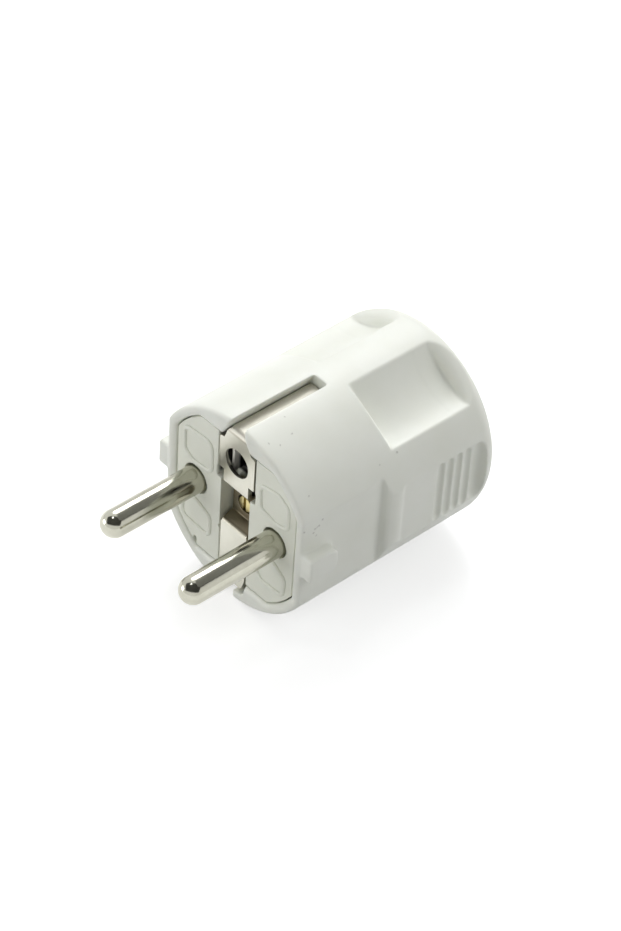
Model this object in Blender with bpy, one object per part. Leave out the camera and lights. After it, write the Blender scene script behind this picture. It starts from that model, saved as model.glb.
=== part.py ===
# Rewireable earthed mains plug: two round pins, earth strips along the top and bottom,
# and a socket hole for an earth pin. The round shell is one moulding. A front insert in its
# mouth carries the pins, the bent earth bracket, the earth pin clip and the cord clamp.
# Axes of the plug: X across the pins, Y from the insert's face towards the cable end, Z up.
# The root empty lifts the plug so that it lies on the plane Z = 0.

import math

import bmesh
import bpy
from mathutils import Matrix, Vector

MM = 0.001

# Fits that all pieces share
GAP = 0.3 * MM
OVERRUN = 1.5 * MM
EDGE_BREAK = 0.2 * MM
SMOOTH_ANGLE = math.radians(35)

# Shell outside: a round body with two side flats in front and two grip flats behind. Its width
# follows from the pins' pitch, the terminal blocks beside them and the walls.
SHELL_END = 41.0 * MM
RIM_STAND = 0.55 * MM
RIM_ROUND = 0.7 * MM
REAR_ROUND = 3.45 * MM
SIDE_FLAT_INSET = 2.2 * MM
SIDE_FLAT_END = 16.0 * MM
GRIP_FLAT_RISE = 1.1 * MM
GRIP_FLAT_START = 17.6 * MM
RING_LENGTH = 4.2 * MM
RING_FLAT_INSET = 0.1 * MM
SHELL_ARC_STEPS = 13
RIM_STEPS = 3
REAR_STEPS = 5

# Neck groove: a turned cut about the line across the pins, with a concave ramp up to the grip
NECK_START = 15.2 * MM
NECK_FOOT = 17.4 * MM
NECK_DEPTH = 0.35 * MM
NECK_END = 20.4 * MM
NECK_STEPS = 5
NECK_TURN_STEPS = 72

# Four concave finger dishes between the grips and the top and bottom
DISH_ANGLE = math.radians(59.25)
DISH_HALF_WIDTH = 6.18 * MM
DISH_SAG = 2.0 * MM
DISH_FRONT = 19.75 * MM
DISH_FRONT_DRAFT_SHARE = 0.42
DISH_REAR_FLARE = 0.7 * MM
DISH_STEPS = 11
DISH_REACH_ANGLE = math.radians(56)
DISH_FLOOR_ANGLE = math.radians(2.5)

# Upright grip grooves on each grip flat
GROOVE_COUNT = 5
GROOVE_SETBACK = 0.7 * MM
GROOVE_PITCH = 1.95 * MM
GROOVE_RADIUS = 0.82 * MM
GROOVE_DEPTH = 0.6 * MM
GROOVE_HALF_HEIGHT = 5.7 * MM
GROOVE_SIDES = 12
GROOVE_END_STEPS = 3

# Slots in the top and bottom wall, through which the earth strips are reached
SLOT_HALF_WIDTH = 1.45 * MM
SLOT_LIP_DEPTH = 0.35 * MM
SLOT_STRIP_HALF_WIDTH = 2.05 * MM
STRIP_SINK = 1.9 * MM
SLOT_ROOT_HALF_WIDTH = 3.5 * MM
SLOT_ROOT_STEP = 0.1 * MM
SLOT_FLOOR_DEPTH = 0.5 * MM
SLOT_END = 17.0 * MM

# Guide ribs on the side flats
RIB_STAND = 2.3 * MM
RIB_HALF_HEIGHT = 2.4 * MM
RIB_LENGTH = 5.6 * MM
RIB_SETBACK = 0.25 * MM
RIB_ROUND = 1.6 * MM
RIB_EDGE_ROUND = 0.35 * MM
RIB_ROOT = 1.0 * MM
CORNER_STEPS = 4

# Shell inside
SEAT_WALL = 1.85 * MM
SEAT_TOP_WALL = 4.3 * MM
SEAT_LEDGE = 0.8 * MM
BLOCK_TO_BAY = 0.45 * MM
BAY_END = 17.8 * MM
DISH_WALL = 2.42 * MM
END_WALL = 2.8 * MM
SEAT_ARC_STEPS = 6
CABLE_HOLE_RADIUS = 5.0 * MM
CABLE_HOLE_ROUND = 1.2 * MM
ROUND_STEPS = 40

# Nut post, standing on the shell's floor behind the insert
POST_HALF_WIDTH = 3.9 * MM
POST_FRONT = 17.4 * MM
POST_LENGTH = 6.0 * MM
POST_TOP = 2.45 * MM
POST_ROOT = 1.5 * MM
NUT_HALF_WIDTH = 2.75 * MM
NUT_THICKNESS = 2.4 * MM
NUT_SETBACK = 2.1 * MM

# Front insert
INSERT_THICKNESS = 5.3 * MM
NOTCH_HALF_WIDTH = 4.55 * MM
RECESS_HALF_WIDTH = 3.45 * MM
CHANNEL_STEP_Z = 3.8 * MM
NOTCH_TOP_Z = 6.7 * MM
KEY_NOTCH_X = 9.0 * MM
KEY_NOTCH_HALF_WIDTH = 0.6 * MM
KEY_NOTCH_DEPTH = 0.9 * MM
HUB_TO_BLOCK = 0.8 * MM
HUB_HALF_HEIGHT = 4.6 * MM
HUB_END = 14.0 * MM
SHELF_THICKNESS = 0.9 * MM
HOOK_HEIGHT = 1.4 * MM
HOOK_LENGTH = 1.2 * MM
RAIL_HALF_WIDTH = 2.3 * MM
RAIL_SETBACK = 0.2 * MM
CHIMNEY_WALL = 1.0 * MM
CHIMNEY_ROOF = 0.45 * MM
CHIMNEY_END = 12.0 * MM

# Pins
PIN_PITCH = 19.0 * MM
PIN_LENGTH = 19.0 * MM
PIN_RADIUS = 2.4 * MM
PIN_COLLAR_RADIUS = 3.3 * MM
PIN_COLLAR_FRONT = 4.5 * MM
PIN_COLLAR_THICKNESS = 1.5 * MM
PIN_STUB_RADIUS = 1.5 * MM
PIN_STUB_LENGTH = 4.5 * MM
PIN_STEPS = 36
TIP_STEPS = 8

# Terminal blocks and their screws
BLOCK_HALF_WIDTH = 3.5 * MM
BLOCK_HALF_HEIGHT = 3.6 * MM
BLOCK_LENGTH = 8.5 * MM
WIRE_HOLE_RADIUS = 1.5 * MM
WIRE_HOLE_DEPTH = 3.6 * MM
TERMINAL_SCREW_SETBACK = 2.3 * MM
TERMINAL_SCREW_RADIUS = 1.2 * MM
TERMINAL_SCREW_LENGTH = 4.4 * MM
TERMINAL_HEAD_RADIUS = 2.3 * MM
TERMINAL_HEAD_HEIGHT = 1.9 * MM

# Earth bracket: one bent strip from the top contact, through the recess, to the bottom contact
STRIP_THICKNESS = 0.9 * MM
STRIP_HALF_WIDTH = 1.7 * MM
MAIN_BEND_RADIUS = 1.1 * MM
STEP_BEND_RADIUS = 0.7 * MM
BEND_STEPS = 5
UPPER_PLATE_HALF_WIDTH = 4.1 * MM
UPPER_PLATE_LOW_Z = 6.9 * MM
NECK_PLATE_HALF_WIDTH = 2.9 * MM
UPPER_STEP_Z = 3.65 * MM
RECESS_DEPTH = 2.3 * MM
LOWER_STEP_REAR_Z = -3.2 * MM
LOWER_STEP_FRONT_Z = -4.1 * MM
LOWER_PLATE_HALF_WIDTH = 3.05 * MM
EARTH_HOLE_Z = 10.0 * MM
EARTH_HOLE_RADIUS = 2.65 * MM

# Earth pin clip, a strip folded into two springy blades behind the hole
CLIP_THICKNESS = 0.7 * MM
CLIP_RISE = 2.2 * MM
CLIP_DROP = 3.7 * MM
CLIP_MOUTH_HALF_WIDTH = 2.9 * MM
CLIP_PINCH_HALF_WIDTH = 2.55 * MM
CLIP_PINCH_SETBACK = 2.2 * MM
CLIP_BACK_HALF_WIDTH = 2.75 * MM
CLIP_WAIST_SETBACK = 9.0 * MM
CLIP_LENGTH = 16.0 * MM
CLIP_BEND_RADIUS = 0.8 * MM
CLIP_BOSS_RADIUS = 1.9 * MM
CLIP_BOSS_LENGTH = 1.8 * MM

# Earth terminal screw and saddle washer
EARTH_SCREW_RADIUS = 1.2 * MM
EARTH_SCREW_TIP = 0.2 * MM
EARTH_HEAD_RADIUS = 2.4 * MM
EARTH_HEAD_HEIGHT = 1.7 * MM
WASHER_HALF_WIDTH = 2.6 * MM
WASHER_THICKNESS = 0.8 * MM
WASHER_LIP = 0.7 * MM

# Assembly screw, held captive behind the bracket
SCREW_FACE_RADIUS = 1.45 * MM
SCREW_FACE_SETBACK = 0.15 * MM
SCREW_COLLAR_RADIUS = 2.6 * MM
SCREW_COLLAR_THICKNESS = 1.5 * MM
SCREW_RADIUS = 1.5 * MM
SCREW_POINT = 0.5 * MM
SCREW_STEPS = 28
SCREW_SLOT_HALF_WIDTH = 0.3 * MM
SCREW_SLOT_DEPTH = 0.6 * MM

# Cord clamp: a saddle under the shell's roof, carried by two arms of the insert, and a bar
SADDLE_THICKNESS = 1.5 * MM
SADDLE_HALF_ANGLE = math.radians(46)
SADDLE_STEPS = 12
SADDLE_HALF_LENGTH = 3.5 * MM
ARM_GAP_HALF_WIDTH = 3.4 * MM
ARM_GAP_CLEARANCE = 1.0 * MM
CLAMP_SCREW_X = 6.0 * MM
CLAMP_BOSS_WALL = 0.5 * MM
CLAMP_BOSS_LOW_Z = 5.6 * MM
CLAMP_BOSS_TOP_Z = 8.8 * MM
CLAMP_NUT_HALF_WIDTH = 1.9 * MM
CLAMP_NUT_THICKNESS = 1.3 * MM
CLAMP_NUT_LOW_Z = 6.9 * MM
CLAMP_SCREW_RADIUS = 1.1 * MM
CLAMP_SCREW_LENGTH = 5.9 * MM
CLAMP_HEAD_RADIUS = 2.0 * MM
CLAMP_HEAD_HEIGHT = 1.4 * MM
BAR_HALF_LENGTH = 8.3 * MM
BAR_HALF_WIDTH = 2.8 * MM
BAR_LOW_Z = 3.0 * MM
BAR_THICKNESS = 1.4 * MM
BAR_RIDGE_HALF_WIDTH = 0.35 * MM
BAR_RIDGE_HEIGHT = 0.5 * MM
BAR_RIDGE_SPACING = 1.6 * MM
BAR_RIDGE_HALF_LENGTH = 3.2 * MM

# Sizes that follow from those above
BAY_HALF_WIDTH = PIN_PITCH / 2 + BLOCK_HALF_WIDTH + BLOCK_TO_BAY
SEAT_HALF_WIDTH = BAY_HALF_WIDTH + SEAT_LEDGE
SIDE_FLAT = SEAT_HALF_WIDTH + SEAT_WALL
SHELL_RADIUS = SIDE_FLAT + SIDE_FLAT_INSET
SLOT_HALF_ANGLE = math.asin(SLOT_HALF_WIDTH / SHELL_RADIUS)
FOOT_DEPTH = SHELL_RADIUS * math.cos(SLOT_HALF_ANGLE)
MID_LENGTH = (SHELL_END - PIN_LENGTH) / 2
GRIP_FLAT = SIDE_FLAT + GRIP_FLAT_RISE
GRIP_FLAT_END = SHELL_END - RING_LENGTH
RING_FLAT = SHELL_RADIUS - RING_FLAT_INSET
RIB_REACH = SIDE_FLAT + RIB_STAND
GROOVE_LAST = GRIP_FLAT_END - GROOVE_SETBACK
DISH_CHORD = math.sqrt(SHELL_RADIUS ** 2 - DISH_HALF_WIDTH ** 2)
DISH_REAR = GRIP_FLAT_END
SLOT_STRIP_Z = SHELL_RADIUS - STRIP_SINK
SEAT_RADIUS = SHELL_RADIUS - SEAT_WALL
SEAT_HALF_HEIGHT = SHELL_RADIUS - SEAT_TOP_WALL
SEAT_DEPTH = INSERT_THICKNESS + GAP
BAY_RADIUS = SEAT_RADIUS - SEAT_LEDGE
BAY_HALF_HEIGHT = SEAT_HALF_HEIGHT - SEAT_LEDGE
SLOT_ROOT_Z = SEAT_HALF_HEIGHT + SLOT_ROOT_STEP
SLOT_FLOOR_Z = BAY_HALF_HEIGHT - SLOT_FLOOR_DEPTH
REAR_BAY_RADIUS = DISH_CHORD - DISH_SAG - DISH_WALL
SADDLE_OUTER_RADIUS = REAR_BAY_RADIUS - GAP
SADDLE_INNER_RADIUS = SADDLE_OUTER_RADIUS - SADDLE_THICKNESS
INSERT_RADIUS = SEAT_RADIUS - GAP
INSERT_HALF_WIDTH = SEAT_HALF_WIDTH - GAP
INSERT_HALF_HEIGHT = SEAT_HALF_HEIGHT - GAP
CHANNEL_DEPTH = STRIP_THICKNESS + GAP
REAR_BAY_FRONT = BAY_END - OVERRUN
STRIP_REAR = SLOT_END - GAP
RAIL_END = STRIP_REAR - RAIL_SETBACK
HUB_HALF_WIDTH = PIN_PITCH / 2 - BLOCK_HALF_WIDTH - HUB_TO_BLOCK
RECESS_BACK = RECESS_DEPTH + STRIP_THICKNESS
RECESS_CUT_DEPTH = RECESS_BACK + GAP
CLIP_FRONT = STRIP_THICKNESS + GAP
CLIP_LOW_Z = EARTH_HOLE_Z - CLIP_DROP
CLIP_TOP_Z = EARTH_HOLE_Z + CLIP_RISE
POCKET_TOP_Z = CLIP_TOP_Z + GAP
CLIP_BACK = CLIP_FRONT + CLIP_LENGTH
COLLAR_FRONT = RECESS_BACK + GAP
BLOCK_FRONT = PIN_COLLAR_FRONT + PIN_COLLAR_THICKNESS + GAP
BLOCK_END = BLOCK_FRONT + BLOCK_LENGTH
NUT_FRONT = POST_FRONT + NUT_SETBACK
SCREW_END = POST_FRONT + POST_LENGTH - GAP
WASHER_FRONT = CLIP_BACK + GAP
WASHER_BACK = WASHER_FRONT + WASHER_THICKNESS
EARTH_SCREW_SEAT = WASHER_BACK + WASHER_LIP + GAP
ARM_GAP_END = EARTH_SCREW_SEAT + EARTH_HEAD_HEIGHT + ARM_GAP_CLEARANCE
CLAMP_CENTRE_Y = ARM_GAP_END + SADDLE_HALF_LENGTH
SADDLE_END = CLAMP_CENTRE_Y + SADDLE_HALF_LENGTH


def make_material(name, colour, roughness, metallic):
    material = bpy.data.materials.new(name)
    material.use_nodes = True
    shader = material.node_tree.nodes["Principled BSDF"]
    shader.inputs["Base Color"].default_value = (*colour, 1)
    shader.inputs["Roughness"].default_value = roughness
    shader.inputs["Metallic"].default_value = metallic
    material.diffuse_color = (*colour, 1)
    return material


def object_from(name, bm, material=None):
    """Turns a bmesh into an object with outward normals and smooth round faces."""
    bmesh.ops.recalc_face_normals(bm, faces=bm.faces)
    mesh = bpy.data.meshes.new(name)
    bm.to_mesh(mesh)
    bm.free()
    mesh.shade_smooth()
    mesh.set_sharp_from_angle(angle=SMOOTH_ANGLE)
    made = bpy.data.objects.new(name, mesh)
    bpy.context.scene.collection.objects.link(made)
    if material:
        mesh.materials.append(material)
        made.parent = bpy.data.objects["plug_root"]
    else:
        made.hide_render = True
        made.display_type = "WIRE"
        made.parent = bpy.data.objects["plug_root"]
    return made


def boolean(target, tool, operation):
    step = target.modifiers.new(operation.title() + "_" + tool.name, "BOOLEAN")
    step.operation = operation
    step.solver = "EXACT"
    step.object = tool


def cut(target, tool):
    boolean(target, tool, "DIFFERENCE")


def join(target, tool):
    boolean(target, tool, "UNION")


def place(bm, axis, centre):
    """Turns a shape built along Z so that it runs along the axis, then moves it to its place."""
    turn = {
        "X": Matrix.Rotation(math.pi / 2, 4, "Y"),
        "Y": Matrix.Rotation(-math.pi / 2, 4, "X"),
        "Z": Matrix.Identity(4),
    }[axis]
    bmesh.ops.transform(bm, matrix=Matrix.Translation(centre) @ turn, verts=bm.verts)


def extruded(name, outline, direction, low, high, material=None):
    """Extrudes an outline. Its points are (x, z) for Y, (y, z) for X and (x, y) for Z."""
    spot = {
        "X": lambda a, b, along: (along, a, b),
        "Y": lambda a, b, along: (a, along, b),
        "Z": lambda a, b, along: (a, b, along),
    }[direction]
    bm = bmesh.new()
    face = bm.faces.new([bm.verts.new(spot(a, b, low)) for a, b in outline])
    grown = bmesh.ops.extrude_face_region(bm, geom=[face])
    moved = [item for item in grown["geom"] if isinstance(item, bmesh.types.BMVert)]
    bmesh.ops.translate(bm, verts=moved, vec=Vector(spot(0, 0, high - low)))
    return object_from(name, bm, material)


def box(name, x_span, y_span, z_span, material=None):
    outline = [(x, z) for x, z in (
        (x_span[0], z_span[0]), (x_span[1], z_span[0]), (x_span[1], z_span[1]), (x_span[0], z_span[1]),
    )]
    return extruded(name, outline, "Y", y_span[0], y_span[1], material)


def turned(name, profile, axis, centre, steps, material=None, closed=False):
    """Spins a profile of (radius, height) points about the axis through the centre, and caps open ends."""
    bm = bmesh.new()
    verts = [bm.verts.new((radius, 0, height)) for radius, height in profile]
    edges = [bm.edges.new(pair) for pair in zip(verts, verts[1:])]
    if closed:
        edges.append(bm.edges.new((verts[-1], verts[0])))
    bmesh.ops.spin(
        bm, geom=verts + edges, cent=(0, 0, 0), axis=(0, 0, 1), angle=math.tau, steps=steps, use_merge=True
    )
    bmesh.ops.remove_doubles(bm, verts=bm.verts, dist=EDGE_BREAK / 100)
    bmesh.ops.edgeloop_fill(bm, edges=[edge for edge in bm.edges if edge.is_boundary])
    place(bm, axis, centre)
    return object_from(name, bm, material)


def lofted(name, loops, material=None):
    """Joins closed loops of the same number of points into one skin with flat ends."""
    bm = bmesh.new()
    rings = [[bm.verts.new(point) for point in loop] for loop in loops]
    count = len(rings[0])
    for ring, following in zip(rings, rings[1:]):
        for i in range(count):
            j = (i + 1) % count
            bm.faces.new((ring[i], ring[j], following[j], following[i]))
    bm.faces.new(rings[0])
    bm.faces.new(rings[-1])
    return object_from(name, bm, material)


def mirrored_points(points):
    """Closes the right half of an outline, listed from top to bottom, with its left half."""
    return points + [(-x, z) for x, z in reversed(points)]


def arc_points(centre, radius, start, end, steps):
    return [
        (
            centre[0] + radius * math.cos(start + (end - start) * i / steps),
            centre[1] + radius * math.sin(start + (end - start) * i / steps),
        )
        for i in range(steps + 1)
    ]


def flatted_round(radius, flat):
    """The shell's section: a circle with side flats, and a narrow foot flat as wide as the slots."""
    corner = math.acos(min(flat / radius, 1))
    quarter_end = math.pi / 2 - SLOT_HALF_ANGLE
    upper_right = arc_points((0, 0), radius, corner, quarter_end, SHELL_ARC_STEPS)
    upper_left = [(-x, z) for x, z in reversed(upper_right)]
    lower = [(x, -z) for x, z in reversed(upper_right + upper_left)]
    return upper_right + upper_left + lower


def seat_outline(radius, half_width, half_height):
    """A circle cut by two side flats and by a flat at the top and the bottom."""
    low, high = math.acos(half_width / radius), math.asin(half_height / radius)
    quarter = arc_points((0, 0), radius, low, high, SEAT_ARC_STEPS)
    half = quarter + [(-x, z) for x, z in reversed(quarter)]
    return half + [(x, -z) for x, z in reversed(half)]


def shell_body(material):
    rim = -RIM_STAND
    stations = []
    for i in range(RIM_STEPS, -1, -1):
        turn = math.pi / 2 * i / RIM_STEPS
        inset = RIM_ROUND * (1 - math.cos(turn))
        stations.append((rim + RIM_ROUND * (1 - math.sin(turn)), SHELL_RADIUS - inset, SIDE_FLAT - inset))
    stations.append((SIDE_FLAT_END, SHELL_RADIUS, SIDE_FLAT))
    stations.append((GRIP_FLAT_START, SHELL_RADIUS, GRIP_FLAT))
    stations.append((GRIP_FLAT_END, SHELL_RADIUS, GRIP_FLAT))
    for i in range(REAR_STEPS + 1):
        turn = math.pi / 2 * i / REAR_STEPS
        inset = REAR_ROUND * (1 - math.cos(turn))
        y = SHELL_END - REAR_ROUND * (1 - math.sin(turn))
        radius = SHELL_RADIUS - inset
        stations.append((y, radius, radius * RING_FLAT / SHELL_RADIUS))
    loops = [[(x, y, z) for x, z in flatted_round(radius, flat)] for y, radius, flat in stations]
    return lofted("outer_shell", loops, material)


def neck_cutter(side):
    foot = SIDE_FLAT - NECK_DEPTH
    lead_in = [
        (NECK_FOOT + (NECK_START - NECK_FOOT) * t, foot + NECK_DEPTH * (1 - math.cos(math.pi / 2 * t)))
        for t in [(NECK_STEPS - i) / NECK_STEPS for i in range(NECK_STEPS)]
    ]
    ramp = [
        (NECK_FOOT + (NECK_END - NECK_FOOT) * t, foot + (GRIP_FLAT - foot) * (1 - math.cos(math.pi / 2 * t)))
        for t in [i / NECK_STEPS for i in range(NECK_STEPS + 1)]
    ]
    outside = SHELL_RADIUS + OVERRUN
    profile = [(NECK_START - NECK_DEPTH, SIDE_FLAT + NECK_DEPTH)] + lead_in + ramp
    profile += [(NECK_END + NECK_DEPTH, GRIP_FLAT + NECK_DEPTH)]
    profile += [(NECK_END + NECK_DEPTH, outside), (NECK_START - NECK_DEPTH, outside)]
    if side < 0:
        profile = [(radius, -x) for radius, x in profile]
    return turned(f"neck_cut_{side}", profile, "X", (0, 0, 0), NECK_TURN_STEPS, closed=True)


def dish_cutter(name, angle):
    """A trough that runs along the body, with a drafted front and a rear wall that flares out."""
    floor_radius = (DISH_HALF_WIDTH ** 2 + DISH_SAG ** 2) / (2 * DISH_SAG)
    centre = DISH_CHORD - DISH_SAG + floor_radius
    outward = Vector((math.cos(angle), 0, math.sin(angle)))
    across = Vector((-math.sin(angle), 0, math.cos(angle)))
    loops = []
    for i in range(DISH_STEPS + 1):
        turn = DISH_FLOOR_ANGLE + (DISH_REACH_ANGLE - DISH_FLOOR_ANGLE) * i / DISH_STEPS
        width, depth = floor_radius * math.sin(turn), centre - floor_radius * math.cos(turn)
        above = (depth - DISH_CHORD) / (SHELL_RADIUS - DISH_CHORD)
        front = DISH_FRONT - DISH_FRONT_DRAFT_SHARE * (depth - DISH_CHORD)
        rear = DISH_REAR + DISH_REAR_FLARE * max(above, 0) ** 2
        corners = ((-width, front), (width, front), (width, rear), (-width, rear))
        loops.append([outward * depth + across * s + Vector((0, y, 0)) for s, y in corners])
    return lofted(name, loops)


def groove_cutter(side, number):
    """A round bar with domed ends, sunk into the grip flat."""
    half = GROOVE_HALF_HEIGHT - GROOVE_RADIUS
    dome = [
        (GROOVE_RADIUS * math.cos(turn), half + GROOVE_RADIUS * math.sin(turn))
        for turn in [math.pi / 2 * i / GROOVE_END_STEPS for i in range(GROOVE_END_STEPS)]
    ]
    top = [(0, GROOVE_HALF_HEIGHT)] + dome[::-1]
    profile = top + [(radius, -z) for radius, z in reversed(top)]
    x = side * (GRIP_FLAT - GROOVE_DEPTH + GROOVE_RADIUS)
    y = GROOVE_LAST - GROOVE_PITCH * number
    return turned(f"groove_cut_{side}_{number}", profile, "Z", (x, y, 0), GROOVE_SIDES)


def slot_cutter(side):
    """The dovetail slot of one earth strip, narrow outside and wide at the insert."""
    lip = SHELL_RADIUS - SLOT_LIP_DEPTH
    right = [
        (SLOT_HALF_WIDTH, SHELL_RADIUS + OVERRUN),
        (SLOT_HALF_WIDTH, lip),
        (SLOT_STRIP_HALF_WIDTH, SLOT_STRIP_Z),
        (SLOT_ROOT_HALF_WIDTH, SLOT_ROOT_Z),
        (SLOT_ROOT_HALF_WIDTH, SLOT_FLOOR_Z),
    ]
    outline = mirrored_points([(x, side * z) for x, z in right])
    return extruded(f"slot_cut_{side}", outline, "Y", -RIM_STAND - OVERRUN, SLOT_END)


def guide_rib(side):
    """A side rib with a round rear end. Its outer edges are bevelled."""
    front, rear = -RIM_STAND + RIB_SETBACK, RIB_LENGTH
    high = RIB_HALF_HEIGHT
    outline = [(front, -high)]
    outline += arc_points((rear - RIB_ROUND, -high + RIB_ROUND), RIB_ROUND, -math.pi / 2, 0, CORNER_STEPS)
    outline += arc_points((rear - RIB_ROUND, high - RIB_ROUND), RIB_ROUND, 0, math.pi / 2, CORNER_STEPS)
    outline += [(front, high)]
    rib = extruded(f"guide_rib_{side}", outline, "X", side * (SIDE_FLAT - RIB_ROOT), side * RIB_REACH)
    rounding = rib.modifiers.new("Edge_round", "BEVEL")
    rounding.width = RIB_EDGE_ROUND
    rounding.segments = 2
    rounding.limit_method = "ANGLE"
    rounding.angle_limit = SMOOTH_ANGLE
    return rib


def shell_cavity_cutters():
    seat = seat_outline(SEAT_RADIUS, SEAT_HALF_WIDTH, SEAT_HALF_HEIGHT)
    bay = seat_outline(BAY_RADIUS, BAY_HALF_WIDTH, BAY_HALF_HEIGHT)
    rear_wall = SHELL_END - END_WALL
    rear_bay = [(REAR_BAY_RADIUS, REAR_BAY_FRONT), (REAR_BAY_RADIUS, rear_wall)]
    wide = CABLE_HOLE_RADIUS + CABLE_HOLE_ROUND
    middle = (wide, SHELL_END - CABLE_HOLE_ROUND)
    mouth = arc_points(middle, CABLE_HOLE_ROUND, math.pi, math.pi / 2, CORNER_STEPS)
    hole = [(CABLE_HOLE_RADIUS, rear_wall - OVERRUN)] + mouth + [(wide, SHELL_END + OVERRUN)]
    return [
        extruded("seat_cut", seat, "Y", -RIM_STAND - OVERRUN, SEAT_DEPTH),
        extruded("bay_cut", bay, "Y", 0, BAY_END),
        turned("rear_bay_cut", rear_bay, "Y", (0, 0, 0), ROUND_STEPS),
        turned("cable_hole_cut", hole, "Y", (0, 0, 0), ROUND_STEPS),
    ]


def outer_shell(material):
    shell = shell_body(material)
    for side in (-1, 1):
        cut(shell, neck_cutter(side))
    corners = {"right": DISH_ANGLE, "left": math.pi - DISH_ANGLE}
    for side, angle in corners.items():
        cut(shell, dish_cutter(f"dish_cut_top_{side}", angle))
        cut(shell, dish_cutter(f"dish_cut_bottom_{side}", -angle))
    for side in (-1, 1):
        for number in range(GROOVE_COUNT):
            cut(shell, groove_cutter(side, number))
        join(shell, guide_rib(side))
    for tool in shell_cavity_cutters():
        cut(shell, tool)
    floor = -REAR_BAY_RADIUS - POST_ROOT
    post_end = POST_FRONT + POST_LENGTH
    post_x = (-POST_HALF_WIDTH, POST_HALF_WIDTH)
    join(shell, box("nut_post", post_x, (POST_FRONT, post_end), (floor, POST_TOP)))
    pocket = NUT_HALF_WIDTH + GAP
    pocket_y = (NUT_FRONT - GAP, NUT_FRONT + NUT_THICKNESS + GAP)
    cut(shell, box("nut_pocket_cut", (-pocket, pocket), pocket_y, (-pocket, POST_TOP + OVERRUN)))
    bore = [(SCREW_RADIUS + GAP, POST_FRONT - OVERRUN), (SCREW_RADIUS + GAP, post_end + OVERRUN)]
    cut(shell, turned("post_bore_cut", bore, "Y", (0, 0, 0), SCREW_STEPS))
    for side in (-1, 1):
        cut(shell, slot_cutter(side))
    return shell


def saddle_arms():
    """The saddle and its two arms: a curved plate under the shell's roof, slotted for the clip."""
    middle = math.pi / 2
    low, high = middle - SADDLE_HALF_ANGLE, middle + SADDLE_HALF_ANGLE
    outline = arc_points((0, 0), SADDLE_OUTER_RADIUS, low, high, SADDLE_STEPS)
    outline += arc_points((0, 0), SADDLE_INNER_RADIUS, high, low, SADDLE_STEPS)
    front = INSERT_THICKNESS - OVERRUN
    plate = extruded("saddle_plate", outline, "Y", front, SADDLE_END)
    gap_x = (-ARM_GAP_HALF_WIDTH, ARM_GAP_HALF_WIDTH)
    gap_z = (0, SADDLE_OUTER_RADIUS + OVERRUN)
    cut(plate, box("arm_gap_cut", gap_x, (front - OVERRUN, ARM_GAP_END), gap_z))
    return plate


def clamp_block(name, side, half_width, z_span, material=None):
    """A square block about the line of one clamp screw: its boss, its nut, or the nut's pocket."""
    x, y = side * CLAMP_SCREW_X, CLAMP_CENTRE_Y
    x_span, y_span = (x - half_width, x + half_width), (y - half_width, y + half_width)
    return box(name, x_span, y_span, z_span, material)


def insert_body_pieces():
    """What is joined to the insert's plate."""
    root = INSERT_THICKNESS - OVERRUN
    hub_x, hub_z = (-HUB_HALF_WIDTH, HUB_HALF_WIDTH), (-HUB_HALF_HEIGHT, HUB_HALF_HEIGHT)
    pieces = [box("hub", hub_x, (root, HUB_END), hub_z), saddle_arms()]
    chimney = CLIP_MOUTH_HALF_WIDTH + CLIP_THICKNESS / 2 + GAP + CHIMNEY_WALL
    chimney_z = (HUB_HALF_HEIGHT - GAP, POCKET_TOP_Z + CHIMNEY_ROOF)
    pieces.append(box("chimney", (-chimney, chimney), (root, CHIMNEY_END), chimney_z))
    for side in (-1, 1):
        inner, outer = sorted((side * POCKET_TOP_Z, side * (SLOT_STRIP_Z - CHANNEL_DEPTH)))
        rail_x = (-RAIL_HALF_WIDTH, RAIL_HALF_WIDTH)
        pieces.append(box(f"rail_{side}", rail_x, (GAP, RAIL_END), (inner, outer)))
        near, far = sorted((side * (HUB_HALF_WIDTH - OVERRUN), side * (PIN_PITCH / 2 + BLOCK_HALF_WIDTH)))
        shelf_top = -BLOCK_HALF_HEIGHT - GAP
        shelf_z = (shelf_top - SHELF_THICKNESS, shelf_top)
        hook_end = BLOCK_END + GAP + HOOK_LENGTH
        pieces.append(box(f"shelf_{side}", (near, far), (root, hook_end - GAP), shelf_z))
        hook_z = (shelf_top - SHELF_THICKNESS / 2, shelf_top + HOOK_HEIGHT)
        hook_x = sorted((side * (HUB_HALF_WIDTH + GAP), side * (PIN_PITCH / 2 + BLOCK_HALF_WIDTH - GAP)))
        pieces.append(box(f"hook_{side}", hook_x, (BLOCK_END + GAP, hook_end), hook_z))
        boss_z = (CLAMP_BOSS_LOW_Z, CLAMP_BOSS_TOP_Z)
        boss_half = CLAMP_NUT_HALF_WIDTH + GAP + CLAMP_BOSS_WALL
        pieces.append(clamp_block(f"clamp_boss_{side}", side, boss_half, boss_z))
    return pieces


def straight_bore(name, radius, axis, centre, low, high):
    return turned(name, [(radius, low), (radius, high)], axis, centre, SCREW_STEPS)


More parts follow.
